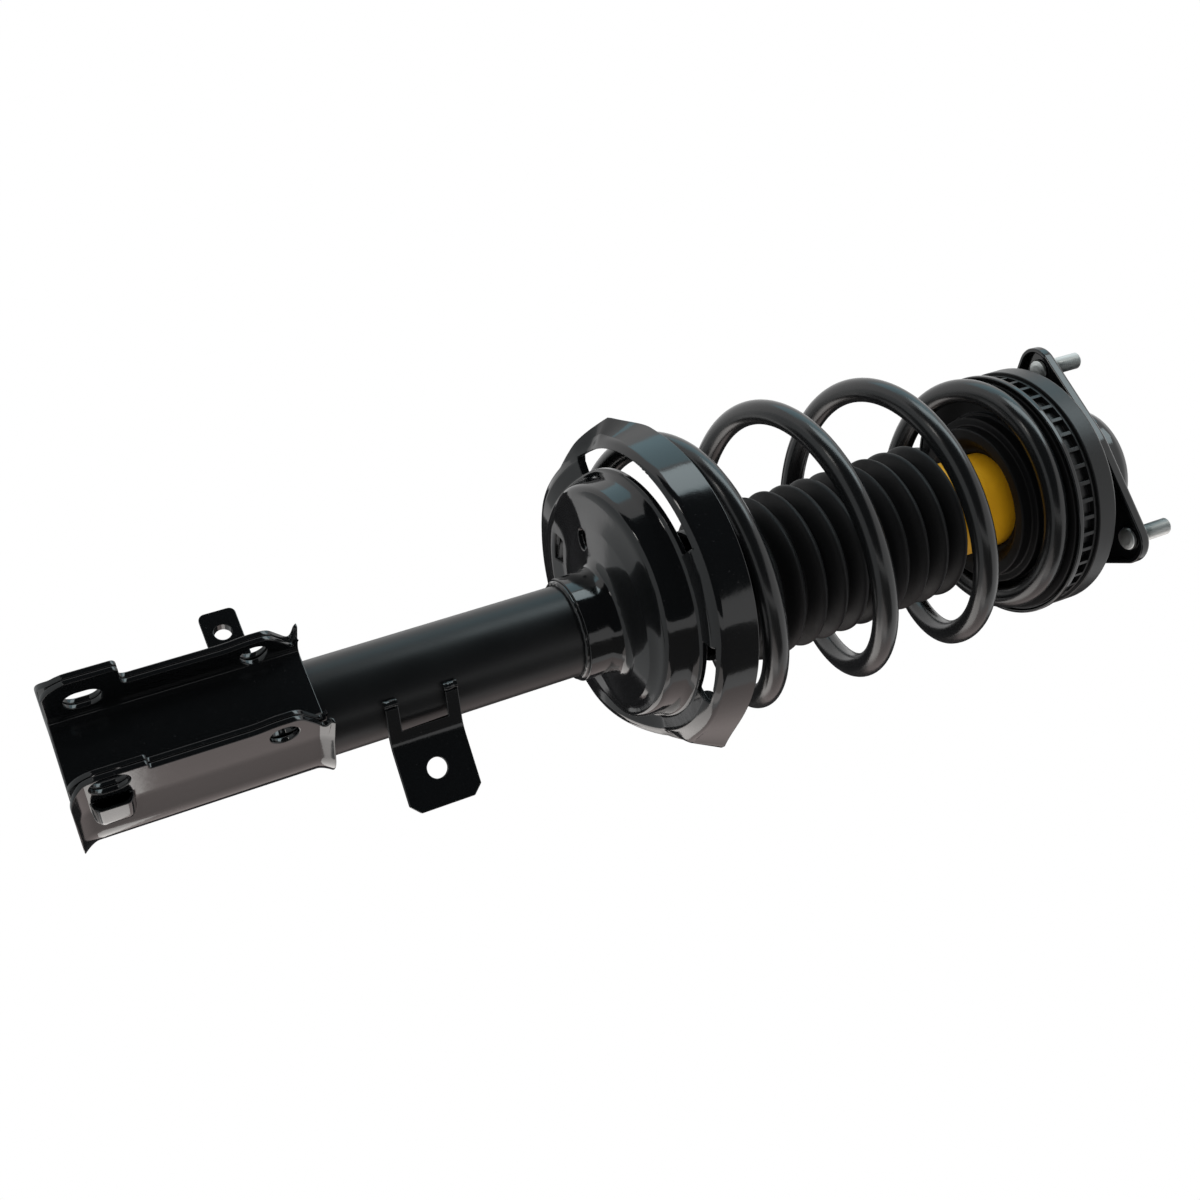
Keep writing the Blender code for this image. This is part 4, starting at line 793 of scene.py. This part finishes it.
def channel_rise(angle):
    """How much higher the seat's channel lies at an angle than on average."""
    return SEAT_TILT / 2 * cos(angle - HIGH_SIDE)


def seat_point(radius, height, angle):
    """Place a point of the seat's section: outer circles shift sideways and the channel leans."""
    outward = smooth_step(radius, SHIFT_FROM, CHANNEL_INNER)
    x, y = polar(radius, angle)
    shift_x, shift_y = polar(SEAT_SHIFT * outward, SIDE)
    return x + shift_x, y + shift_y, height + channel_rise(angle) * outward


def cusp(inward, reach):
    """How far a guard's end bends out: it dies away in a curve along the guard and straight beyond it."""
    return exp(-inward / CUSP_REACH) if inward > 0 else max(1 + inward / reach, 0.0)


def seat_section(angle, bare, drop):
    """The seat from the neck to the guard's edge, as (radius, height) pairs; drop lowers its channel."""
    neck = TUBE_RADIUS + 3.5 * MM
    floor_low = SEAT_FLOOR - drop
    guard = smooth_step(angle, GUARD_START - START_FADE, GUARD_START + START_FADE)
    guard *= 1 - smooth_step(angle, GUARD_END - END_FADE, GUARD_END + END_FADE)
    rise = LIP_RISE + GUARD_RISE * guard
    cusps = cusp(angle - GUARD_START, START_CUSP_REACH) + cusp(GUARD_END - radians(6) - angle, CUSP_REACH)
    lean = GUARD_LEAN * guard + CUSP_LEAN * cusps
    flat = 1.6 * MM * (1 - guard)
    return [(neck, NECK_LOW), (neck, PAN_LOW - 8 * MM), (neck + 1 * MM, PAN_LOW - 3 * MM),
            (neck + 5 * MM, PAN_LOW - 1 * MM), (PAN_RADIUS - 12 * MM, PAN_LOW + 1 * MM + 4 * MM * bare),
            (PAN_RADIUS, PAN_LOW + 5.5 * MM * bare), (PAN_RADIUS + 2.5 * MM, floor_low - 4 * MM + drop * 0.3),
            (CHANNEL_INNER, floor_low), (CHANNEL_OUTER, floor_low),
            (CHANNEL_OUTER + 3.4 * MM - flat, floor_low + min(LIP_RISE, rise * 0.3)),
            (GUARD_RADIUS + lean * 0.3 - flat, floor_low + min(5 * MM, rise * 0.7)),
            (GUARD_RADIUS + lean, floor_low + rise)]


def other_face(section, thickness):
    """The same open path one sheet thickness to its left."""
    moved = []
    for k, point in enumerate(section):
        along = (section[min(k + 1, len(section) - 1)] - section[max(k - 1, 0)]).normalized()
        moved.append(point + Vector((-along.y, along.x)) * thickness)
    return moved


SEAT_STEPS = 300
SEAT_ROUND = 4 * MM
seat_rings = []
for k in range(SEAT_STEPS):
    angle = TURN * k / SEAT_STEPS
    bare = smooth_step(cos(angle - BARE_SIDE), 0.0, 0.75)
    under = rounded(seat_section(angle, bare, BARE_DROP * bare), SEAT_ROUND, 5)
    upper = other_face(rounded(seat_section(angle, bare, 0), SEAT_ROUND, 5), SEAT_SHEET)
    seat_rings.append([seat_point(p.x, p.y, angle) for p in under + upper[::-1]])

# Windows as (first and last degree, inner and outer radius), holes as (degree, distance), both in
# millimetres and degrees.
CHANNEL_WINDOW = (71, 81.6)
PAN_WINDOW = (53, 61)
seat_centre = polar(SEAT_SHIFT, SIDE)
seat_cuts = []
for degrees, reach in (((22, 108), CHANNEL_WINDOW), ((146, 172), CHANNEL_WINDOW), ((-31, -15), PAN_WINDOW)):
    start, end = (radians(a) for a in degrees)
    inner, outer = (r * MM for r in reach)
    window = arc(seat_centre, outer, start, end, 40) + arc(seat_centre, inner, end, start, 40)
    seat_cuts.append(pillar(window, SEAT_FLOOR - 34 * MM, SEAT_FLOOR + 16 * MM))
for degrees, distance in ((29, 45), (330, 44)):
    centre = (*polar(distance * MM, radians(degrees)), SEAT_FLOOR)
    seat_cuts.append(drill(centre, (0, 0, 1), 6 * MM, 60 * MM, 40))
fitted("drawn_seat", carved(skin(seat_rings, True), seat_cuts, 0.6 * MM), black_paint, "damper_body",
       "lower_spring_seat")

# Weld beads hold the seat's neck and the bracket's legs on the tube. They are laid before painting
# and keep their ripples under the paint.


def line_mesh(points, closed=False):
    """A bare chain of edges for a Geometry Nodes tree to follow."""
    chain = bpy.data.meshes.new("chain")
    edges = [(k, k + 1) for k in range(len(points) - 1)]
    if closed:
        edges.append((len(points) - 1, 0))
    chain.from_pydata([tuple(p) for p in points], edges, [])
    return chain


def bead(name, points, radius, closed=False):
    """A rippled weld bead along a chain of points."""
    plan = Plan("bead", Radius=radius, Ripple=radius * 0.7, Grain=260.0)
    given = plan.given
    line = plan.base.node("GeometryNodeMeshToCurve", None, {"Mesh": plan.base})
    grain = line.node("ShaderNodeTexNoise", None, {"Scale": given["Grain"], "Detail": 2.0})
    push = line.node("ShaderNodeVectorMath", {"operation": "SCALE"}, {
        0: line.node("GeometryNodeInputNormal"), "Scale": (grain - 0.5) * given["Ripple"]})
    lumpy = line.node("GeometryNodeSetPosition", None, {
        "Geometry": swept(line, 20, given["Radius"]), "Offset": push})
    return fitted(name, plan.grow(lumpy, black_paint, line_mesh(points, closed)), black_paint,
                  "damper_body", sharp=80, weigh=False)


NECK_STEPS = 160
neck_line = [(*polar(26.2 * MM, TURN * k / NECK_STEPS), NECK_LOW - 0.4 * MM) for k in range(NECK_STEPS)]
bead("neck_weld", neck_line, 1.7 * MM, closed=True)
foot = hose_turn @ Vector((8.6 * MM, -25.3 * MM, HOSE_HEIGHT))
for number, (low, high) in enumerate(((-HOSE_HALF, -HOSE_SLOT), (HOSE_SLOT, HOSE_HALF)), 1):
    leg_line = [(foot.x, foot.y, HOSE_HEIGHT + low + (high - low) * k / 24) for k in range(25)]
    bead("leg_weld_%d" % number, leg_line, 2.4 * MM)

# A moulded rubber strip lies in the channel under the coil's dead turn. It keeps the coil from
# knocking on the steel, and the spring's load holds it down.
COIL_START = radians(-9)
COIL_FIRST = -0.45
STRIP_INNER = 69 * MM
STRIP_OUTER = 77 * MM
STRIP_LENGTH = radians(150)
STRIP_STEPS = 90
strip_start = COIL_START + TURN * COIL_FIRST
strip_low = SEAT_FLOOR + SEAT_SHEET + GAP
strip_high = strip_low + 3 * MM
strip_outline = rounded([(STRIP_INNER, strip_low), (STRIP_OUTER, strip_low), (STRIP_OUTER, strip_high),
                         (STRIP_INNER, strip_high)], 0.8 * MM, 3, closed=True)
strip_rings = [[seat_point(p.x, p.y, strip_start + STRIP_LENGTH * k / STRIP_STEPS) for p in strip_outline]
               for k in range(STRIP_STEPS + 1)]
fitted("rubber_strip", skin(strip_rings, False), rubber, "damper_body", "lower_insulator")

# The coil spring is one round bar, wound with its turns off the strut axis so that it loads the
# damper sideways. It is dipped in the same paint.
WIRE_RADIUS = 7 * MM
COIL_RADIUS = 78.5 * MM
COIL_END_RADIUS = 72.5 * MM
COIL_TOP_RADIUS = 64.5 * MM
COIL_PITCH = 68 * MM
COIL_LAST = 3.95
COIL_FREE_TO = 2.6
COIL_FLAT_FROM = 3.3
COIL_SEATED = SEAT_FLOOR + 6.6 * MM + WIRE_RADIUS
COIL_TOP = -57.9 * MM
COIL_LEAN = 3.7 * MM
COIL_LIFT = 5.5 * MM
LIFT_SIDE = radians(116)
SHIFT_LOW = 12.5 * MM
SHIFT_HIGH = 3 * MM
TRAVEL = 89 * MM


def coil_point(turn):
    """Centre of the bar at a number of turns from the first free turn."""
    angle = COIL_START + TURN * turn
    free_start = COIL_SEATED + 4 * MM
    lean = COIL_LEAN * cos(angle - SIDE)
    height = free_start + COIL_PITCH * turn + lean
    early = smooth_step(turn, 0.4, 0.8) * (1 - smooth_step(turn, 2.0, 2.45))
    height += COIL_LIFT * early * (1 - cos(angle - LIFT_SIDE)) / 2
    free_end = free_start + COIL_PITCH * COIL_FREE_TO
    if turn > COIL_FREE_TO:
        part = min((turn - COIL_FREE_TO) / (COIL_FLAT_FROM - COIL_FREE_TO), 1.0)
        height = free_end + (COIL_TOP - free_end) * sin(part * pi / 2)
        height += lean * (1 - smooth_step(part, 0, 1))
    seated = 1 - smooth_step(turn, -0.2, 0.25)
    height = height * (1 - seated) + (COIL_SEATED + channel_rise(angle)) * seated
    top = smooth_step(turn, COIL_FREE_TO - 0.3, COIL_FLAT_FROM - 0.1)
    radius = COIL_RADIUS + (COIL_TOP_RADIUS - COIL_RADIUS) * top
    radius += (COIL_END_RADIUS - COIL_RADIUS) * (1 - smooth_step(turn, -0.2, 0.55))
    shift = SHIFT_LOW + (SHIFT_HIGH - SHIFT_LOW) * min(max(turn / COIL_FLAT_FROM, 0.0), 1.0)
    shift_x, shift_y = polar(shift * (1 - seated) + SEAT_SHIFT * seated, SIDE)
    x, y = polar(radius, angle)
    return shift_x + x, shift_y + y, height


coil_turns = COIL_LAST - COIL_FIRST
coil_steps = round(coil_turns * 110)
coil_line = [coil_point(COIL_FIRST + coil_turns * k / coil_steps) for k in range(coil_steps + 1)]
plan = Plan("wound_bar", Radius=WIRE_RADIUS, Sides=36)
centre_line = plan.base.node("GeometryNodeMeshToCurve", None, {"Mesh": plan.base})
bar = swept(centre_line, plan.given["Sides"], plan.given["Radius"])
bar_paint = Finish("bar_black_paint", "black_paint", (0.006, 0.0065, 0.007), 0.2)
bar_paint.dulled(30.0, 4.0, 0.14, 0.15)
bar_paint.peel(0.4, 0.12, 0.0005)
spring = fitted("wound_spring", plan.grow(bar, bar_paint, line_mesh(coil_line)), bar_paint, "upper_seat",
                "coil_spring", weigh=False)
coil_length = COIL_TOP + 2 * WIRE_RADIUS - min(z for x, y, z in coil_line) - SEAT_TILT
(coil_length - TRAVEL) / coil_length
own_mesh(spring)

# The bump stop is moulded yellow foam round the rod, with a fine closed skin. It hangs in the upper
# seat's cup and its neck holds the boot.
foam = Finish("yellow_foam", "yellow_foam", (0.80, 0.36, 0.012), 0.5, shine=0.3)
foam.between(foam.noise(40.0, 5.0), (0.74, 0.33, 0.005), (0.98, 0.52, 0.014))
pores = foam.place.node("ShaderNodeTexVoronoi", None, {"Vector": foam.place, "Scale": 900.0})
foam.relief(pores + foam.noise(200.0), 0.25, 0.0003)
BUMP_TOP = -39.6 * MM
BUMP_LOW = BUMP_TOP - 72 * MM
NECK = -94.5 * MM
BUMP_RADIUS = 29 * MM
BUMP_NECK = 25.5 * MM
BUMP_SKIRT = 26 * MM
BUMP_BORE = 12 * MM
fitted("moulded_bump_stop", turned([
    (25 * MM, BUMP_TOP), (27.6 * MM, BUMP_TOP - 2 * MM), (BUMP_RADIUS, BUMP_TOP - 10 * MM),
    (BUMP_RADIUS, NECK + 4 * MM), (28 * MM, NECK + 1 * MM), (BUMP_NECK, NECK), (BUMP_NECK, NECK - 7 * MM),
    (BUMP_SKIRT, NECK - 9 * MM), (BUMP_SKIRT, NECK - 11 * MM), (21.5 * MM, BUMP_LOW + 3 * MM),
    (18.5 * MM, BUMP_LOW), (BUMP_BORE, BUMP_LOW), (BUMP_BORE, BUMP_TOP)], 1.2 * MM),
       foam, "upper_seat", "bump_stop")

# The dust boot is a thin moulded rubber bellows. Its collar snaps into the bump stop's neck, and it
# sags a little to the side that hangs lowest in the picture.
BOOT_TOP = NECK - 0.5 * MM
BOOT_COLLAR = 6 * MM
BOOT_RIBS = 11
BOOT_PITCH = 13.9 * MM
BOOT_LENGTH = BOOT_COLLAR + BOOT_RIBS * BOOT_PITCH + 9.7 * MM
BOOT_ROWS = 640
BOOT_AROUND = 120
SAG_SPAN = 0.62                  # share of a half wave that the sag follows down the boot
plan = Plan("bellows", Top=BOOT_TOP, Length=BOOT_LENGTH, Collar=BOOT_COLLAR, Pitch=BOOT_PITCH,
            Ribs=float(BOOT_RIBS), Crest=46 * MM, Valley=37.5 * MM, Mouth=BUMP_NECK + 2.7 * MM,
            Wall=2.2 * MM, Sag=3.2 * MM, Round=1.2)
given = plan.given
grid = plan.base.node("GeometryNodeMeshGrid", None, {
    "Size X": 1.0, "Size Y": 1.0, "Vertices X": BOOT_AROUND + 1, "Vertices Y": BOOT_ROWS + 1})
spot = grid.node("ShaderNodeSeparateXYZ", None, {0: grid.node("GeometryNodeInputPosition")})
angle = (spot + 0.5) * TURN
down = 0.5 - spot.also("Y")
depth = (down * 2).maths("PINGPONG", 1.0) * given["Length"]
phase = (depth - given["Collar"]) / given["Pitch"]
wave = ((phase - 0.5) * pi).maths("COSINE").maths("ABSOLUTE").maths("POWER", given["Round"])
opening = ((phase * 2).maths("MAXIMUM", 0.0).maths("MINIMUM", 1.0) * (pi / 2)).maths("SINE")
shoulder_radius = given["Mouth"] + (given["Crest"] - given["Mouth"]) * opening
rib_radius = (given["Valley"] + (given["Crest"] - given["Valley"]) * wave
              * phase.maths("LESS_THAN", given["Ribs"]))
on_ribs = phase.maths("GREATER_THAN", 0.5)
inside = ((down - 0.5) * BOOT_ROWS).capped() * ((1 - down) * BOOT_ROWS).capped()
radius = shoulder_radius * (1 - on_ribs) + rib_radius * on_ribs - inside * given["Wall"]
sag = (depth / given["Length"] * pi * SAG_SPAN).maths("SINE") * given["Sag"]
spread = grid.node("ShaderNodeCombineXYZ", None, {
    "X": radius * angle.maths("COSINE") + sag * cos(HOSE_SIDE),
    "Y": radius * angle.maths("SINE") + sag * sin(HOSE_SIDE), "Z": given["Top"] - depth})
shaped = grid.node("GeometryNodeSetPosition", None, {"Geometry": grid, "Position": spread})
closed = grid.node("GeometryNodeMergeByDistance", None, {"Geometry": shaped, "Distance": 1e-6})
boot = fitted("bellows", plan.grow(closed, rubber), rubber, "upper_seat", "dust_boot", sharp=75, weigh=False)
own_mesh(boot)

# A stepped rubber insulator lies under the upper spring seat. It centres the coil's top turn and is
# held by the spring's load.
RIBBED_LOW = -46 * MM
COIL_CENTRING = 53 * MM
INSULATOR_FOOT = 46.5 * MM
INSULATOR_BORE = 29.3 * MM
INSULATOR_EDGE = 71.2 * MM
seat_top = RIBBED_LOW - GAP
seat_under = seat_top - 2 * MM
insulator_top = seat_under - GAP
fitted("stepped_insulator", turned([
    (INSULATOR_EDGE, insulator_top), (INSULATOR_EDGE, insulator_top - 2 * MM),
    (COIL_CENTRING, insulator_top - 2 * MM), (COIL_CENTRING, insulator_top - 5.5 * MM),
    (51.5 * MM, insulator_top - 5.5 * MM), (51.5 * MM, insulator_top - 12 * MM),
    (INSULATOR_FOOT, insulator_top - 12 * MM), (INSULATOR_FOOT, insulator_top - 19 * MM),
    (40 * MM, insulator_top - 19 * MM), (33 * MM, insulator_top - 11 * MM),
    (INSULATOR_BORE, insulator_top - 10 * MM), (INSULATOR_BORE, insulator_top - 1 * MM),
    (35 * MM, insulator_top)], 1 * MM), rubber, "upper_seat", "upper_insulator")

# The upper spring seat is a thin painted steel pressing under the bearing. Its rim is turned down
# over the insulator and a cup in its middle takes the bump stop.
BAND_RADIUS = 73.5 * MM
UPPER_RADIUS = BAND_RADIUS + 1 * MM
UPPER_SHEET = 2 * MM
rim_low = seat_under - 2 * MM
rim_inner = UPPER_RADIUS - UPPER_SHEET
cup_bore = 13.5 * MM
cup_under = seat_top + 7 * MM
cup_top = cup_under + UPPER_SHEET
fitted("pressed_upper_seat", turned([
    (UPPER_RADIUS, seat_top - 1 * MM), (UPPER_RADIUS, rim_low), (rim_inner, rim_low),
    (rim_inner, seat_under), (34 * MM, seat_under), (31 * MM, cup_under), (cup_bore, cup_under),
    (cup_bore, cup_top), (33 * MM, cup_top), (36 * MM, seat_top), (UPPER_RADIUS - 1 * MM, seat_top)],
    0.7 * MM, 240), black_paint, "upper_seat", "upper_spring_seat")

# The bearing's lower housing is moulded plastic, cored out into a ring of open pockets so that it
# cools evenly. Its balls run in a plastic cage.
black_plastic = Finish("satin_black_plastic", "black_plastic", (0.006, 0.0065, 0.007), 0.38, shine=0.35)
black_plastic.dulled(1400.0, 2.0, 0.2, 0.26)
black_plastic.relief(black_plastic.noise(1400.0, 2.0), 0.08, 0.0003)
dress(["bearing_cage"], black_plastic)
dress(["bearing_ball_%02d" % (k + 1) for k in range(12)], chrome)
POCKETS = 44
POCKET_DEPTH = 3.5 * MM
POCKET_WALL = 2.4 * MM
MARGIN = 1.8 * MM
SUNK = 0.2 * MM
BORE = 42 * MM
RIBBED_RADIUS = BAND_RADIUS - 2 * MM
RIBBED_TOP = RIBBED_LOW + 11 * MM
deep = RIBBED_RADIUS - POCKET_DEPTH
shelf = BAND_RADIUS - 7 * MM
race_low = -33.5 * MM
ring = turned([
    (shelf, race_low), (shelf, RIBBED_TOP), (RIBBED_RADIUS, RIBBED_TOP), (RIBBED_RADIUS, RIBBED_TOP - MARGIN),
    (deep, RIBBED_TOP - MARGIN), (deep, RIBBED_LOW + MARGIN), (RIBBED_RADIUS, RIBBED_LOW + MARGIN),
    (RIBBED_RADIUS, RIBBED_LOW), (BORE, RIBBED_LOW), (BORE, race_low)], 0.3 * MM, 240)
plan = Plan("pocket_ribs", Count=POCKETS, Radius=deep + POCKET_DEPTH / 2 - SUNK, Width=POCKET_WALL,
            Depth=POCKET_DEPTH, Height=RIBBED_TOP - RIBBED_LOW - MARGIN * 2 + 0.6 * MM,
            Middle=(RIBBED_TOP + RIBBED_LOW) / 2)
given = plan.given
places = plan.base.node("GeometryNodeMeshCircle", None, {
    "Vertices": given["Count"], "Radius": given["Radius"]})
size = places.node("ShaderNodeCombineXYZ", None, {
    "X": given["Depth"], "Y": given["Width"], "Z": given["Height"]})
outward = places.node("FunctionNodeAlignRotationToVector", {"axis": "X", "pivot_axis": "Z"}, {
    "Vector": places.node("GeometryNodeInputPosition")})
ribs = places.node("GeometryNodeInstanceOnPoints", None, {
    "Points": places, "Instance": places.node("GeometryNodeMeshCube", None, {"Size": size}),
    "Rotation": outward})
ribbed = merged([ring, plan.grow(lifted(ribs, given["Middle"]), black_plastic)])
fitted("pocketed_housing", carved(ribbed, [], 0.25 * MM, 60), black_plastic, "upper_seat",
       "bearing_lower_housing")

# The bearing's upper housing is a plain moulded plastic band. It is pushed up under the mount plate,
# stays with the mount and covers the balls.
BAND_TOP = -21.3 * MM
BAND_LOW = BAND_TOP - 13.4 * MM
BAND_WALL = 3 * MM
race_top = BAND_TOP - 5.6 * MM
fitted("moulded_band", turned([
    (BAND_RADIUS - 1.6 * MM, BAND_TOP), (BAND_RADIUS, BAND_TOP - 1.8 * MM), (BAND_RADIUS, BAND_LOW),
    (BAND_RADIUS - BAND_WALL, BAND_LOW), (BAND_RADIUS - BAND_WALL, race_top), (BORE, race_top),
    (BORE, BAND_TOP)], 0.6 * MM, 240), black_plastic, "mount", "bearing_upper_housing")

# The mount plate is a three-cornered steel pressing with a turned-down rim and a drum drawn in its
# middle.
STUD_CIRCLE = 67.5 * MM
STUD_COUNT = 3
STUD_FIRST = radians(41)
STUD_HOLE = 5.3 * MM
PLATE_CORNER = 14.5 * MM
PLATE_MIDDLE = 54.5 * MM
PLATE_SHEET = 3 * MM
PLATE_DEPTH = 7 * MM
PLATE_WALL = 2.8 * MM
PLATE_EDGE = 0.5 * MM
DRUM_RADIUS = 50 * MM
DRUM_DEPTH = 21 * MM
DRUM_BORE = 27 * MM
BUSH_HOLE = 36.5 * MM
stud_sides = [STUD_FIRST + TURN * k / STUD_COUNT for k in range(STUD_COUNT)]
stud_places = [Vector((*polar(STUD_CIRCLE, side), 0)) for side in stud_sides]


def plate_edge(inset):
    """Corner arcs round the studs, joined by tangents to a bulge between each two."""
    lean = acos((PLATE_MIDDLE - PLATE_CORNER) / STUD_CIRCLE)
    outline = []
    for side, stud in zip(stud_sides, stud_places):
        outline += arc(stud, PLATE_CORNER - inset, side - lean, side + lean, 48)
        outline += arc((0, 0), PLATE_MIDDLE - inset, side + lean, side + TURN / STUD_COUNT - lean, 16)
    return outline


rim = [(PLATE_WALL * (1 - sin(a)), -PLATE_WALL * (1 - cos(a))) for a in [pi / 2 * k / 8 for k in range(9)]]
rim += [(0, -PLATE_DEPTH + PLATE_EDGE), (0.15 * MM, -PLATE_DEPTH + 0.15 * MM), (PLATE_EDGE, -PLATE_DEPTH),
        (PLATE_WALL - PLATE_EDGE, -PLATE_DEPTH), (PLATE_WALL, -PLATE_DEPTH + PLATE_EDGE),
        (PLATE_WALL, -PLATE_SHEET)]
rim_rings = [[(x, y, z) for x, y in plate_edge(inset)] for inset, z in rim]
drum_floor = -DRUM_DEPTH + 2.5 * MM
drum_inner = DRUM_RADIUS - 3 * MM
drum = turned([(DRUM_RADIUS, -PLATE_SHEET / 2), (DRUM_RADIUS, -DRUM_DEPTH), (DRUM_BORE, -DRUM_DEPTH),
               (DRUM_BORE, drum_floor), (drum_inner, drum_floor), (drum_inner, -PLATE_SHEET / 2)], 1.2 * MM)
plate_cuts = [drill((0, 0, 0), (0, 0, 1), BUSH_HOLE, 16 * MM, 180)]
plate_cuts += [drill(centre, (0, 0, 1), STUD_HOLE, 30 * MM) for centre in stud_places]
fitted("pressed_plate", carved(skin(rim_rings, False), plate_cuts, 0.5 * MM, first=[("UNION", drum)]),
       black_paint, "mount", "mount_plate")

# Three zinc-plated studs with rolled threads are pressed up through the plate's corners. Their round
# heads stay under it.
zinc = Finish("zinc_plate", "zinc", (0.66, 0.69, 0.68), 0.4, metallic=1.0)
zinc.dulled(300.0, 3.0, 0.25, 0.3)
zinc.relief(zinc.noise(700.0), 0.1, 0.0002)
STUD_RADIUS = 5 * MM
STUD_RISE = 27 * MM
THREAD_FOOT = 3 * MM
core = STUD_RADIUS - PITCH / 2
head_top = -PLATE_SHEET - GAP
for number, centre in enumerate(stud_places, 1):
    shaft = lathe([(core - TIP, STUD_RISE), (core, STUD_RISE - TIP), (core, THREAD_FOOT),
                   (STUD_RADIUS, 2.2 * MM), (STUD_RADIUS, head_top), (6.7 * MM, head_top),
                   (7 * MM, head_top - 0.5 * MM), (6.4 * MM, head_top - 1.9 * MM),
                   (4 * MM, head_top - 2.4 * MM), (1 * MM, head_top - 2.5 * MM)], 0.3 * MM, 48)
    stud = merged([shaft, thread(STUD_RADIUS, PITCH, THREAD_FOOT, STUD_RISE - 1.5 * MM, zinc)])
    stud.transform(Matrix.Translation(centre))
    fitted("zinc_stud_%d" % number, stud, zinc, "mount", "mount_stud_%d" % number, sharp=50)

# The mount's middle is a rubber bush in the plate's drum, bonded to a steel sleeve. A zinc-plated
# washer and nut on the rod's thread clamp the sleeve.
BUSH_TOP = 8 * MM
BUSH_UPPER = 36.2 * MM
BUSH_LOWER = 46.7 * MM
BUSH_STEP = -3.3 * MM
BUSH_FOOT = 25.2 * MM
BUSH_BORE = 14.3 * MM
SLEEVE_RADIUS = 14 * MM
SLEEVE_FLANGE = 24 * MM
FLANGE_SHEET = 3 * MM
sleeve_low = -DRUM_DEPTH + 1.5 * MM
bush_low = drum_floor + GAP
flange_top = sleeve_low + 3.3 * MM
fitted("bonded_bush", turned([
    (31.2 * MM, BUSH_TOP), (BUSH_UPPER, BUSH_TOP - 4 * MM), (BUSH_UPPER, BUSH_STEP), (BUSH_LOWER, BUSH_STEP),
    (BUSH_LOWER, bush_low), (BUSH_FOOT, bush_low), (BUSH_FOOT, flange_top), (BUSH_BORE, flange_top),
    (BUSH_BORE, BUSH_TOP)], 1.5 * MM), rubber, "mount", "mount_bush")
thread_clear = ROD_THREAD + GAP
fitted("bush_sleeve", turned([
    (SLEEVE_RADIUS, BUSH_TOP), (SLEEVE_RADIUS, sleeve_low + FLANGE_SHEET),
    (SLEEVE_FLANGE, sleeve_low + FLANGE_SHEET), (SLEEVE_FLANGE, sleeve_low), (thread_clear, sleeve_low),
    (thread_clear, BUSH_TOP)]), steel, "mount", "mount_sleeve")
WASHER_RADIUS = 24 * MM
washer_low = BUSH_TOP + GAP
washer_high = washer_low + 3 * MM
fitted("thick_washer", turned([
    (WASHER_RADIUS, washer_high), (WASHER_RADIUS, washer_low), (thread_clear, washer_low),
    (thread_clear, washer_high)], 0.8 * MM), zinc, "mount", "rebound_washer")
NUT_FLATS = 21 * MM
nut_low = washer_high + GAP
nut_high = nut_low + 10 * MM
corner = NUT_FLATS / 2 / cos(pi / 6)
chamfers = turned([
    (0.5 * MM, nut_low - 1 * MM), (corner * 0.9, nut_low - 1 * MM), (corner * 1.1, nut_low + 1.2 * MM),
    (corner * 1.1, nut_high - 1.2 * MM), (corner * 0.86, nut_high + 0.2 * MM),
    (0.5 * MM, nut_high + 0.2 * MM)], 0.01 * MM)
hexagon = pillar(arc((0, 0), corner, 0, TURN * 5 / 6, 5), nut_low, nut_high)
nut_bore = drill((0, 0, nut_low), (0, 0, 1), thread_clear, 60 * MM)
fitted("hexagon_nut", carved(hexagon, [nut_bore], 0.25 * MM, first=[("INTERSECT", chamfers)]), zinc, "mount",
       "rod_nut")

# A pressed steel dome covers the nut and keeps water off the bush. Its brim lies on the plate, and
# it is painted black like the rest.
DOME_RADIUS = 39.4 * MM
DOME_HEIGHT = 24 * MM
DOME_SHEET = 2 * MM
DOME_BRIM = 46 * MM
DOME_BORE = 26 * MM
crown = 32.4 * MM
brim_top = 2.3 * MM
wall_top = DOME_HEIGHT - 7 * MM
fitted("pressed_dome", turned([
    (DOME_BRIM, brim_top), (DOME_RADIUS, brim_top), (DOME_RADIUS, wall_top),
    (DOME_RADIUS - 2.2 * MM, DOME_HEIGHT - 2.2 * MM), (crown, DOME_HEIGHT), (DOME_BORE, DOME_HEIGHT),
    (DOME_BORE, DOME_HEIGHT - DOME_SHEET), (crown, DOME_HEIGHT - DOME_SHEET),
    (35.6 * MM, DOME_HEIGHT - 3.5 * MM), (DOME_RADIUS - DOME_SHEET, wall_top),
    (DOME_RADIUS - DOME_SHEET, GAP), (DOME_BRIM, GAP)], 1.4 * MM), black_paint, "mount", "mount_dome")
